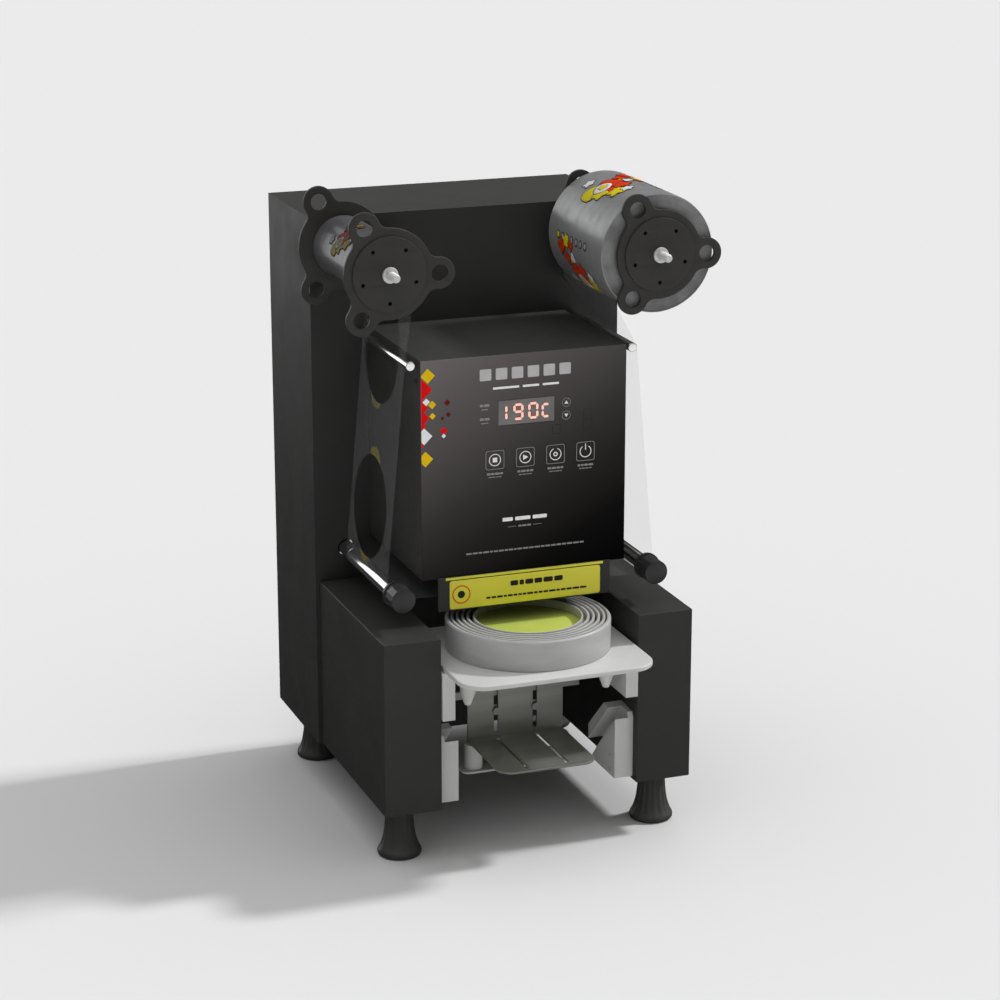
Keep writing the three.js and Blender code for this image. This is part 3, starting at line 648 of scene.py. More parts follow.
def keys():
    for node, kind in (("key_stop", "stop"), ("key_start", "start"), ("key_mode", "mode"),
        ("key_power", "power")):
        body = node + "_body"
        keep(refined(node, MAT["panel"], 0.3 * MM), body, "panel_gloss", node)
        keep(key_face(node, kind), body, "panel_gloss")
        low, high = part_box(node)
        across = ((low.x + high.x) / 2 - (PANEL[0].x + PANEL[1].x) / 2) / MM
        below = (low.z - PANEL[0].z) / MM
        for row, (drop, width, height) in enumerate(((3.6, 15, 1.8), (6.6, 12, 0.8))):
            bars = text_bars(f"{node}_caption_{row}", across, below - drop, width, height, 4, "ink_grey")
            keep(bars, "root", "panel_gloss")
    for node, up in (("key_up", True), ("key_down", False)):
        low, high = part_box(node)
        place = Vector(((low.x + high.x) / 2, 0, (low.z + high.z) / 2))
        radius = (high.x - low.x) / 2
        profile = fillet([(0, low.y), (radius, low.y), (radius, high.y), (0, high.y)], 0.3 * MM)
        keep(turned(node + "_cap", profile, place, "Y", MAT["panel"], 48), node + "_body",
            "dark_plastic", node)
        keep(round_key_face(node, up), node + "_body", "dark_plastic")


SEGMENTS = {"1": "bc", "9": "abcdfg", "0": "abcdef", "c": "adef"}


def digit_segments(name, sign, x, z, width, height, thick, ink, front):
    """One seven-segment figure. Segment letters run a (top) clockwise to f, and g in the middle."""
    half_w, half_h = width / 2, height / 2
    gap = 0.35 * MM
    flat = {"a": half_h, "g": 0.0, "d": -half_h}
    upright = {"b": (half_w, half_h / 2), "c": (half_w, -half_h / 2), "e": (-half_w, -half_h / 2),
        "f": (-half_w, half_h / 2)}
    pieces = []
    for letter in SEGMENTS[sign]:
        if letter in flat:
            reach, level = half_w - gap, z + flat[letter]
            outline = [
                (x - reach, level), (x - reach + thick, level + thick),
                (x + reach - thick, level + thick),
                (x + reach, level), (x + reach - thick, level - thick),
                (x - reach + thick, level - thick),
            ]
        else:
            side, level = upright[letter]
            reach, mid_x, mid_z = half_h / 2 - gap, x + side, z + level
            outline = [
                (mid_x, mid_z - reach), (mid_x + thick, mid_z - reach + thick),
                (mid_x + thick, mid_z + reach - thick),
                (mid_x, mid_z + reach), (mid_x - thick, mid_z + reach - thick),
                (mid_x - thick, mid_z - reach + thick),
            ]
        pieces.append(printed(f"{name}_{letter}", outline, [], ink, front))
    return joined(name, pieces)


def display():
    low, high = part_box("display_window")
    keep(refined("display_window", MAT["window"], 0.3 * MM), "root", "display_window", "display_window")
    keep(refined("control_board", MAT["board"], 0.2 * MM), "root", "board_green", "control_board")
    z = (low.z + high.z) / 2
    tall, wide, short = 12.8 * MM, 7.4 * MM, 11.0 * MM
    # sign, place of its middle across the window, width, height, middle above the window's middle
    figures = (
        ("1", 0.07, wide, tall, 0.0), ("9", 0.355, wide, tall, 0.0), ("0", 0.62, wide, tall, 0.0),
        ("c", 0.845, 6.0 * MM, short, (short - tall) / 2),
    )
    for k, (sign, share, width, height, rise) in enumerate(figures):
        x = low.x + share * (high.x - low.x)
        for layer, thick, ink, lift in (("glow", 2.3 * MM, "glow", 0.02 * MM),
            ("light", 1.15 * MM, "lit", 0.08 * MM)):
            figure = digit_segments(f"figure_{k}_{layer}", sign, x, z + rise, width, height, thick, ink,
                low.y - lift)
            keep(figure, "root", "display_window")


def diamonds():
    """The printed diamonds down the panel's left edge: a plain pattern in three colours."""
    pattern = (
        (-89.8, 185.5, 6.7, "ink_yellow"), (-95.7, 173.3, 10.0, "ink_red"),
        (-91.3, 162.5, 3.4, "ink_white"),
        (-85.9, 159.6, 3.8, "ink_yellow"), (-96.0, 157.3, 6.6, "ink_red"), (-94.3, 148.1, 6.1, "ink_red"),
        (-85.6, 149.4, 3.0, "ink_yellow"), (-72.0, 160.4, 3.0, "ink_deep"),
        (-71.1, 149.7, 2.4, "ink_deep"),
        (-76.6, 146.7, 1.7, "ink_deep"), (-95.8, 141.3, 4.3, "ink_red"), (-93.4, 131.6, 7.5, "ink_white"),
        (-75.4, 135.2, 3.7, "ink_red"), (-75.4, 130.7, 2.1, "ink_white"), (-95.8, 123.3, 2.3, "ink_red"),
        (-92.4, 111.0, 7.1, "ink_yellow"),
    )
    for k, (across, up, reach, ink) in enumerate(pattern):
        x, z = on_panel(across, up)
        left = max(x - reach * MM, PANEL[0].x + 0.3 * MM)
        cut = x - left
        if cut < reach * MM:
            rise = reach * MM - cut
            outline = [(left, z - rise), (x, z - reach * MM), (x + reach * MM, z), (x, z + reach * MM),
                (left, z + rise)]
        else:
            outline = [(left, z), (x, z - reach * MM), (x + reach * MM, z), (x, z + reach * MM)]
        piece = printed(f"diamond_{k}", outline, [], ink, PANEL_FRONT - 0.004 * MM * (k % 3))
        keep(piece, "root", "panel_gloss")


def panel_print():
    keep(title_blocks(), "root", "panel_gloss")
    lines = (
        ("subtitle", 1.2, 169.3, 62, 2.0, 3, "ink_white"),
        ("reading_label_upper", -37.4, 154.6, 9, 2.2, 2, "ink_grey"),
        ("reading_label_upper_small", -37.4, 150.9, 6, 0.9, 1, "ink_grey"),
        ("reading_label_lower", -37.4, 142.2, 9, 2.2, 2, "ink_grey"),
        ("reading_label_lower_small", -37.4, 138.5, 7, 0.9, 1, "ink_grey"),
        ("footer_mark", 0.3, 48.6, 42, 3.4, 3, "ink_white"),
        ("footer_mark_small", 0.3, 41.6, 12, 1.6, 3, "ink_grey"),
        ("footer_line", 1.0, 20.3, 112, 1.5, 22, "ink_grey"),
    )
    for name, *facts in lines:
        keep(text_bars(name, *facts), "root", "panel_gloss")
    for side in (-1, 1):
        x, z = on_panel(0.3 + side * 12, 41.6)
        dash = rectangle(x - 4 * MM, z - 0.2 * MM, x + 4 * MM, z + 0.2 * MM)
        keep(printed(f"footer_dash_{side + 1}", dash, [], "ink_grey"), "root", "panel_gloss")
    for k, (across, up) in enumerate(((30.2, 127.3), (59.8, 139.0), (59.8, 129.2))):
        x, z = on_panel(across, up)
        half, line = 4.2 * MM, 0.4 * MM
        outer = rectangle(x - half, z - half, x + half, z + half, 1.2 * MM)
        inner = rectangle(x - half + line, z - half + line, x + half - line, z + half - line, 0.9 * MM)
        keep(printed(f"unused_place_{k}", outer, [inner], "ink_faint"), "root", "panel_gloss")


# ---------------------------------------------------------------- finger guard


def guard_label():
    """A plain yellow label: a ring sign and bars, with no wording."""
    low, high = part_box("finger_guard")
    front = low.y
    mid = (low.x + high.x) / 2
    z0, z1 = low.z + 1.2 * MM, low.z + 27.6 * MM
    label = plate(
        "guard_label", rectangle(mid - 71.4 * MM, z0, mid + 72.2 * MM, z1, 2.6 * MM), [], "Y",
        front - 0.35 * MM, front - 0.02 * MM, MAT["label"], edge=0.12 * MM,
    )
    keep(label, "root", "black_paint")
    strip = plate(
        "guard_strip", rectangle(mid - 75 * MM, high.z - 2.6 * MM, mid + 75 * MM, high.z - 0.3 * MM,
        0.5 * MM), [],
        "Y", front - 0.3 * MM, front - 0.02 * MM, MAT["label"], edge=0.1 * MM,
    )
    keep(strip, "root", "black_paint")
    face = front - 0.36 * MM
    up = (z0 - PANEL[0].z) / MM
    x, z = mid - 60.5 * MM, (z0 + z1) / 2
    sign = [
        printed("guard_sign_ring", circle(8.6 * MM, x, z), [circle(7.4 * MM, x, z)], "ink_orange", face),
        printed("guard_sign_dot", circle(3.4 * MM, x, z), [], "ink_dark", face),
    ]
    keep(joined("guard_sign", sign), "root", "black_paint")
    for row, (rise, width, height, words) in enumerate(((18.4, 50, 4.6, 6), (7.2, 96, 1.9, 18))):
        bars = text_bars(f"guard_bars_{row}", 11, up + rise, width, height, words, "ink_dark", face)
        keep(bars, "root", "black_paint")


# ---------------------------------------------------------------- film guides


def guides():
    for word, _ in SIDES:
        low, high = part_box(f"guide_rod_{word}")
        place = middle(f"guide_rod_{word}")
        radius = (high.x - low.x) / 2
        place.y = 0
        profile = fillet([(0, low.y), (radius, low.y), (radius, high.y), (0, high.y)], 0.7 * MM)
        rod = turned(f"guide_rod_{word}_fine", profile, place, "Y", MAT["chrome"], 48)
        keep(rod, "root", "chrome_steel", f"guide_rod_{word}")

        low, high, place = on_axle(f"roller_{word}")
        radius = (high.x - low.x) / 2
        groove = low.y + 118 * MM
        profile = fillet(
            [(0, low.y), (radius, low.y), (radius, groove), (radius * 0.96, groove + 0.3 * MM),
             (radius * 0.96, groove + 1.4 * MM), (radius, groove + 1.7 * MM), (radius, high.y),
             (0, high.y)], 0.4 * MM,
        )
        roller = turned(f"roller_{word}_fine", profile, place, "Y", MAT["chrome"], 64)
        keep(roller, f"{word}_roller", "chrome_steel", f"roller_{word}")

        low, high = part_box(f"roller_cap_{word}")
        collar = (high.x - low.x) / 2
        cap, step = collar - 1.0 * MM, high.y - 3.7 * MM
        sides = [(cap, low.y + 1.2 * MM + (step - low.y - 1.2 * MM) * k / 12) for k in range(13)]
        profile = [(0, low.y), (cap - 1.0 * MM, low.y), (cap - 0.3 * MM, low.y + 0.3 * MM), *sides,
                   (collar, step), (collar, high.y - 0.6 * MM), (collar - 0.6 * MM, high.y), (0, high.y)]
        grip = (low.y + 2 * MM, step - 1 * MM)

        def facets(angle, height, grip=grip):
            """Twelve flats round the cap's sides."""
            if not grip[0] < height < grip[1]:
                return 1.0
            half = math.pi / 12
            return math.cos(half) / math.cos(angle % (2 * half) - half)

        end = turned(f"roller_cap_{word}_fine", profile, place, "Y", MAT["cap"], 192, facets)
        keep(end, f"{word}_roller", "dark_plastic", f"roller_cap_{word}")


# ---------------------------------------------------------------- reels


LOBE_ANGLES = [math.radians(d) for d in (-2.5, 117.5, 237.5)]
LOBE_CENTRE, LOBE_RADIUS, LOBE_HOLE = 45.7 * MM, 14 * MM, 7.3 * MM
DISC_RADIUS, BOSS_RADIUS = 40 * MM, 33 * MM


def lobed_outline(x, z):
    """The disc's outline: round, with three lobes that meet it in hollow curves."""
    blend = 9 * MM  # radius of the hollow where a lobe meets the disc
    count = 360
    outline = []
    for k in range(count):
        angle = 2 * math.pi * k / count
        reach = DISC_RADIUS
        nearest = min(abs(math.remainder(angle - lobe, 2 * math.pi)) for lobe in LOBE_ANGLES)
        sine = LOBE_CENTRE * math.sin(nearest)
        if sine < LOBE_RADIUS and nearest < 1:
            reach = max(reach, LOBE_CENTRE * math.cos(nearest) + math.sqrt(LOBE_RADIUS**2 - sine**2))
        base, far = DISC_RADIUS + blend, LOBE_RADIUS + blend
        bend = math.acos((LOBE_CENTRE**2 + base**2 - far**2) / (2 * LOBE_CENTRE * base))
        lobe_touch = math.atan2(
            base * math.sin(bend) * LOBE_RADIUS / far,
            LOBE_CENTRE + (base * math.cos(bend) - LOBE_CENTRE) * LOBE_RADIUS / far,
        )
        if lobe_touch < nearest < bend:
            offset = bend - nearest
            hollow = base * math.cos(offset) - math.sqrt(max(0.0,
                blend**2 - (base * math.sin(offset)) ** 2))
            reach = hollow
        outline.append((x + reach * math.cos(angle), z + reach * math.sin(angle)))
    return outline


def reel_disc(node, body, outward):
    """A lobed disc with its raised boss and small holes. outward is the side that the boss is on."""
    low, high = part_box(node)
    shaft = middle(node.split("_")[0] + "_shaft")
    x, z = shaft.x, shaft.z
    thick = 4 * MM
    boss = 2 * MM
    y0 = low.y + boss if outward < 0 else high.y - boss - thick
    holes = [circle(4.0 * MM, x, z, 32)]
    for angle in LOBE_ANGLES:
        holes.append(circle(LOBE_HOLE, x + LOBE_CENTRE * math.cos(angle),
            z + LOBE_CENTRE * math.sin(angle), 48))
    pins = []
    for k in range(5):
        angle = math.radians(54 + 72 * k)
        pins.append(circle(1.7 * MM, x + 25 * MM * math.cos(angle), z + 25 * MM * math.sin(angle), 20))
    disc = plate(node + "_flange", lobed_outline(x, z), holes + pins, "Y", y0, y0 + thick,
        MAT["plastic"], 0.7 * MM, 3)
    b0, b1 = (low.y, y0 + 0.5 * MM) if outward < 0 else (y0 + thick - 0.5 * MM, high.y)
    raised = plate(
        node + "_boss", circle(BOSS_RADIUS, x, z, 128), [circle(4.0 * MM, x, z, 32), *pins], "Y", b0, b1,
        MAT["plastic"], 0.4 * MM, 3,
    )
    for piece in (disc, raised):
        keep(piece, body, "dark_plastic", node)
    hub = 12.4 * MM
    h0, h1 = (y0 + thick, high.y) if outward < 0 else (low.y, y0)
    core = plate(node + "_hub", circle(hub, x, z, 64), [circle(4.0 * MM, x, z, 32)], "Y", h0, h1,
        MAT["plastic"])
    keep(core, body, "dark_plastic", node)


def threaded_shaft(node, body):
    """The reel's shaft: a coarse bright thread in front, then the plain shaft, with a washer."""
    low, high, place = on_axle(node)
    radius = 3.7 * MM
    nut_back = low.y + 18.7 * MM
    pitch = 1.5 * MM
    profile = [(0, low.y), (radius * 0.72, low.y), (radius * 0.8, low.y + 0.8 * MM)]
    y = low.y + 0.8 * MM
    while y < nut_back - 3 * MM:
        profile += [(radius * 0.84, y), (radius, y + pitch * 0.4), (radius, y + pitch * 0.55),
            (radius * 0.84, y + pitch * 0.95)]
        y += pitch
    profile += [(radius, y), (radius, high.y), (0, high.y)]
    keep(turned(node + "_fine", profile, place, "Y", MAT["bright"], 48), body, "steel", node)
    washer = [(3.75 * MM, nut_back - 2.4 * MM), (7 * MM, nut_back - 2.4 * MM), (7 * MM, nut_back),
        (3.75 * MM, nut_back)]
    collar = turned(node + "_washer", fillet(washer, 0.5 * MM, closed=True), place, "Y", MAT["bright"],
        64)
    keep(collar, body, "steel", node)


def film_roll(word):
    """A wound roll: the printed outside, the layered ends and the card core."""
    node, body = f"{word}_film_roll", f"{word}_reel"
    low, high, place = on_axle(node)
    radius = (high.z - low.z) / 2
    core = 13 * MM
    outside = [(radius - 1.2 * MM, low.y + 0.1 * MM)]
    steps = 28
    for k in range(steps + 1):
        y = low.y + 0.6 * MM + (high.y - low.y - 1.2 * MM) * k / steps
        outside.append((radius - 0.35 * MM + 0.12 * MM * math.sin(2.1 * k), y))
    outside.append((radius - 1.2 * MM, high.y - 0.1 * MM))

    def swell(angle, height):
        return 1.0 + 0.0022 * math.sin(3 * angle + 40 * height) + 0.001 * math.sin(7 * angle)

    skin = turned(f"{node}_outside", outside, place, "Y", MAT["roll" if word == "supply" else "spent"],
        160, swell)
    keep(skin, body, "printed_film", node)
    for end, y in (("front", low.y), ("back", high.y)):
        inward = 1 if end == "front" else -1
        profile = []
        for k in range(33):
            r = core + (radius - 1.0 * MM - core) * k / 32
            ripple = 0.12 * MM * math.sin(1.9 * k) + 0.16 * MM * math.sin(0.7 * k + 1)
            profile.append((r, y + inward * (0.9 * MM + ripple)))
        profile += [(radius - 1.0 * MM, y + inward * 4 * MM), (core, y + inward * 4 * MM)]
        face = turned(f"{node}_{end}_layers", profile, place, "Y", MAT["end"], 128)
        keep(face, body, "printed_film", node)
    tube = [(12.75 * MM, low.y), (core + 0.2 * MM, low.y), (core + 0.2 * MM, high.y),
        (12.75 * MM, high.y)]
    keep(turned(f"{node}_core", tube, place, "Y", MAT["ink_grey"], 64), body, "printed_film", node)


def wrapped(name, outline, place, radius, ink):
    """A flat shape, given in (length round the roll, y), laid on a roll's outside."""
    shape = bmesh.new()
    levels = []
    centre_s = sum(p[0] for p in outline) / len(outline)
    centre_y = sum(p[1] for p in outline) / len(outline)
    rings = 5
    for ring in range(rings + 1):
        share = ring / rings
        loop = []
        for s, y in outline:
            angle = (centre_s + (s - centre_s) * share) / radius
            point = Vector((radius * math.sin(angle), centre_y + (y - centre_y) * share,
                radius * math.cos(angle)))
            loop.append(shape.verts.new(Vector((place.x, 0, place.z)) + point))
        levels.append(loop)
    count = len(outline)
    for one, two in zip(levels, levels[1:]):
        for k in range(count):
            shape.faces.new((one[k], one[(k + 1) % count], two[(k + 1) % count], two[k]))
    bmesh.ops.remove_doubles(shape, verts=shape.verts, dist=0.000002)
    bmesh.ops.recalc_face_normals(shape, faces=shape.faces)
    return thickened(finished(shape, name, MAT[ink]), 0.06 * MM)


def blob(s, y, reach, wave=0.0, petals=5, count=48):
    """A round or gently petalled outline."""
    turns = [2 * math.pi * k / count for k in range(count)]
    return [(s + reach * (1 + wave * math.cos(petals * a)) * math.cos(a),
             y + reach * (1 + wave * math.cos(petals * a)) * math.sin(a)) for a in turns]


# The printed motif as blobs: (along, y, reach, wave, petals, colour), in millimetres from its middle.
MOTIF = (
    (-12, 4, 11.0, 0.10, 3, "yellow"), (-7, -12, 9.0, 0.16, 5, "yellow"), (8, 0, 12.0, 0.10, 4, "red"),
    (3, -30, 9.0, 0.22, 5, "yellow"), (14, -16, 8.5, 0.16, 5, "red"), (14, -17, 5.0, 0.1, 4, "yellow"),
    (4, -18, 6.5, 0.2, 5, "red"), (-1, -3, 9.6, 0.03, 4, "white"), (0, -2, 4.4, 0.14, 5, "yellow"),
    (24, 12, 6.0, 0.24, 4, "red"), (20, 2, 4.4, 0.2, 5, "yellow"), (-3, 27, 5.6, 0.22, 5, "white"),
    (26, -2, 5.0, 0.2, 3, "white"), (12, -34, 5.4, 0.22, 5, "white"), (34, 24, 7.0, 0.2, 4, "red"),
    (41, 12, 6.0, 0.2, 5, "yellow"), (38, 0, 4.6, 0.2, 4, "red"),
)


def motif_print(word, starts, scale, inks):
    """The motif on a roll, and the row of rings beside it. starts are (along, y) of each middle."""
    node, body = f"{word}_film_roll", f"{word}_reel"
    low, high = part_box(node)
    place = middle(node)
    radius = (high.z - low.z) / 2 - 0.02 * MM
    for group, (start, y) in enumerate(starts):
        centre_y = low.y + y * MM
        for k, (along, dy, reach, wave, petals, colour) in enumerate(MOTIF):
            spot = ((start + along * scale) * MM, centre_y + dy * scale * MM)
            rim = blob(*spot, (reach * scale + 0.7) * MM, wave, petals)
            lift = 0.05 * MM * (k % 5) + 0.02 * MM * (k // 5)
            shape = blob(*spot, reach * scale * MM, wave, petals)
            keep(wrapped(f"{word}_edge_{group}_{k}", rim, place, radius + lift, inks["dark"]), body,
                "printed_film")
            print_shape = wrapped(f"{word}_print_{group}_{k}", shape, place, radius + lift + 0.03 * MM,
                inks[colour])
            keep(print_shape, body, "printed_film")
        for k in range(7):
            spot = ((start - 61 * scale) * MM, low.y + (102.5 - 11.2 * k * scale) * MM)
            rim = wrapped(f"{word}_ring_{group}_{k}", blob(*spot, 4.2 * scale * MM), place, radius,
                inks["dark"])
            keep(rim, body, "printed_film")
            fill = "yellow" if k in (0, 2) else "paper"
            dot = blob(*spot, 2.9 * scale * MM)
            keep(wrapped(f"{word}_dot_{group}_{k}", dot, place, radius + 0.06 * MM, inks[fill]), body,
                "printed_film")


def reels():
    for word in ("supply", "takeup"):
        body = f"{word}_reel"
        reel_disc(f"{word}_front_disc", body, -1)
        reel_disc(f"{word}_back_disc", body, 1)
        threaded_shaft(f"{word}_shaft", body)
        film_roll(word)
    vivid = {"yellow": "roll_yellow", "red": "roll_red", "white": "roll_white", "dark": "ink_dark",
        "paper": "ink_grey"}
    dull = {"yellow": "dull_yellow", "red": "dull_red", "white": "dull_white", "dark": "ink_dark",
        "paper": "spent"}
    motif_print("supply", ((-24, 73), (-124, 73), (76, 73)), 0.95, vivid)
    motif_print("takeup", ((-26, 66), (58, 62)), 0.62, dull)


# ---------------------------------------------------------------- film web


FILM_SHOWN = 0.12 * MM  # drawn thicker than real film, so that it renders cleanly
FILM_OFF_GUIDE = 0.45 * MM  # from a guide's surface to the middle of the film


def film_guides():
    """(x, z, distance of the film's middle from the guide's centre, side) for each guide in turn.
    side is +1 where the guide is to the left of the film's travel, and -1 where it is to the right."""
    rows = (
        ("supply_film_roll", 1), ("guide_rod_right", -1), ("roller_right", -1),
        ("roller_left", -1), ("guide_rod_left", -1), ("takeup_film_roll", 1),
    )
    found = []
    for node, side in rows:
        low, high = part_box(node)
        spot = middle(node)
        found.append((spot.x, spot.z, (high.z - low.z) / 2 + FILM_OFF_GUIDE, side))
    return found


def film_stretches():
    """The film's course as straight runs and arcs: a list of (kind, points along it) from the supply roll."""
    guides_in_turn = film_guides()
    headings = []
    for (x0, z0, r0, s0), (x1, z1, r1, s1) in zip(guides_in_turn, guides_in_turn[1:]):
        distance = math.hypot(x1 - x0, z1 - z0)
        headings.append(math.atan2(z1 - z0, x1 - x0) - math.asin((s1 * r1 - s0 * r0) / distance))
    course = []
    for i, (x, z, r, side) in enumerate(guides_in_turn):
        start, end = headings[max(i - 1, 0)], headings[min(i, len(headings) - 1)]
        turn = math.remainder(end - start, 2 * math.pi)
        steps = max(1, math.ceil(abs(turn) / 0.06)) if abs(turn) > 1e-6 else 0
        for k in range(steps + 1):
            heading = start + turn * k / max(steps, 1)
            course.append((x + side * r * math.sin(heading), z - side * r * math.cos(heading)))
    return course


class Course:
    """Finds points along the film's course by distance."""

    def __init__(self, points):
        self.points = [Vector((x, z)) for x, z in points]
        self.marks = [0.0]
        for a, b in zip(self.points, self.points[1:]):
            self.marks.append(self.marks[-1] + (b - a).length)
        self.length = self.marks[-1]

    def at(self, distance):
        for k in range(1, len(self.marks)):
            if distance <= self.marks[k] or k == len(self.marks) - 1:
                span = self.marks[k] - self.marks[k - 1]
                share = (distance - self.marks[k - 1]) / span if span else 0.0
                return self.points[k - 1].lerp(self.points[k], share)
        return self.points[-1]

    def distance_where(self, test):
        """The first distance at which test(point) holds."""
        step = 0.5 * MM
        distance = 0.0
        while distance < self.length and not test(self.at(distance)):
            distance += step
        return distance


def film_sheet(name, course, start, end, holes=()):
    """A stretch of the film as a thin sheet, with round holes given as (distance, y, radius)."""
    low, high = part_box("film_web")
    cell = 1.6 * MM
    rows = max(2, math.ceil((end - start) / cell))
    columns = math.ceil((high.y - low.y) / cell)
    shape = bmesh.new()
    grid = {}

    def along(r):
        return start + (end - start) * r / rows

    def across(c):
        return low.y + (high.y - low.y) * c / columns

    def inside(s, y):
        return any(math.hypot(s - hs, y - hy) < radius for hs, hy, radius in holes)

    def snapped(s, y):
        for hs, hy, radius in holes:
            distance = math.hypot(s - hs, y - hy)
            if abs(distance - radius) < cell * 0.75:
                return hs + (s - hs) * radius / distance, hy + (y - hy) * radius / distance
        return s, y

    def corner(r, c, on_edge):
        if (r, c) not in grid:
            s, y = along(r), across(c)
            if on_edge:
                s, y = snapped(s, y)
            spot = course.at(s)
            grid[r, c] = shape.verts.new((spot.x, y, spot.y))
        return grid[r, c]

    removed = {
        (r, c) for r in range(rows) for c in range(columns)
        if inside((along(r) + along(r + 1)) / 2, (across(c) + across(c + 1)) / 2)
    }
    edge_corners = set()
    for r, c in removed:
        for corner_at in ((r, c), (r + 1, c), (r, c + 1), (r + 1, c + 1)):
            edge_corners.add(corner_at)
    for r in range(rows):
        for c in range(columns):
            if (r, c) in removed:
                continue
            spots = ((r, c), (r + 1, c), (r + 1, c + 1), (r, c + 1))
            shape.faces.new([corner(*spot, spot in edge_corners) for spot in spots])
    bmesh.ops.recalc_face_normals(shape, faces=shape.faces)
    sheet = thickened(finished(shape, name, MAT["film"], 60), FILM_SHOWN)
    bpy.context.view_layer.objects.active = sheet
    bpy.ops.object.modifier_apply(modifier="thickness")
    return sheet


def print_remnant(name, course, hole, start, end, depth):
    """A crescent of yellow print left at a hole's edge. Angles run from the machine's back, upwards."""
    along, y, radius = hole
    steps, lift = 14, 0.25 * MM
    shape = bmesh.new()
    pairs = []
    for k in range(steps + 1):
        angle = math.radians(start + (end - start) * k / steps)
        pair = []
        for reach in (radius + 0.5 * MM,
            radius + 0.6 * MM + depth * math.sin(math.pi * k / steps) ** 0.6):
            spot = course.at(along + reach * math.sin(angle))
            pair.append(shape.verts.new((spot.x - lift, y + reach * math.cos(angle), spot.y)))
        pairs.append(pair)
    for one, two in zip(pairs, pairs[1:]):
        shape.faces.new((one[0], one[1], two[1], two[0]))
    piece = thickened(finished(shape, name, MAT["web_yellow"], None), 0.05 * MM, -1.0)
    keep(piece, "root", "clear_film")


def film():
    """The web from the supply roll, under the head and up to the take-up roll, in five stretches."""
    course = Course(film_stretches())
    right, left = middle("roller_right").x, middle("roller_left").x
    z_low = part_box("roller_right")[0].z
    cup_half = 52 * MM
    under_right = course.distance_where(lambda p: p.y < z_low and p.x < right - 1 * MM)
    die_right = course.distance_where(lambda p: p.y < z_low and p.x < MID_X + cup_half)
    die_left = course.distance_where(lambda p: p.y < z_low and p.x < MID_X - cup_half)
    under_left = course.distance_where(lambda p: p.y < z_low and p.x < left + 1 * MM)

    web_y = middle("film_web").y
    # The holes that cut lids leave: how far up the first is, their spacing, and where they lie across.
    lid_radius, lid_y = 46.6 * MM, web_y + 3.7 * MM
    first_up, spacing = 69.7 * MM, 142 * MM
    first = course.distance_where(lambda p: p.x < left and p.y > z_low + first_up)
    lids = [(first, lid_y, lid_radius), (first + spacing, lid_y, lid_radius)]

    # which hole, start and end angle in degrees, depth in millimetres
    remnants = ((0, 78, 115, 9), (0, -102, -68, 6), (1, -100, -66, 6))
    for k, (which, start, end, depth) in enumerate(remnants):
        print_remnant(f"film_print_{k}", course, lids[which], start, end, depth * MM)

    run_right = film_sheet("film_run_right", course, 0.0, under_right)
    run_left = film_sheet("film_run_left", course, under_left, course.length, lids)
    middle_sheet = film_sheet("film_under_head", course, die_right, die_left)
    slope_right = film_sheet("film_slope_right", course, under_right, die_right)
    slope_left = film_sheet("film_slope_left", course, die_left, under_left)
    for sheet in (run_right, run_left):
        keep(sheet, "root", "clear_film", "film_web")

    for sheet, start_x, side in ((slope_right, right, 1), (slope_left, left, -1)):
        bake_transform(sheet)
        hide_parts("film_web")
    keep(middle_sheet, "root", "clear_film", "film_web")
    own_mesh(middle_sheet)


# ---------------------------------------------------------------- tray


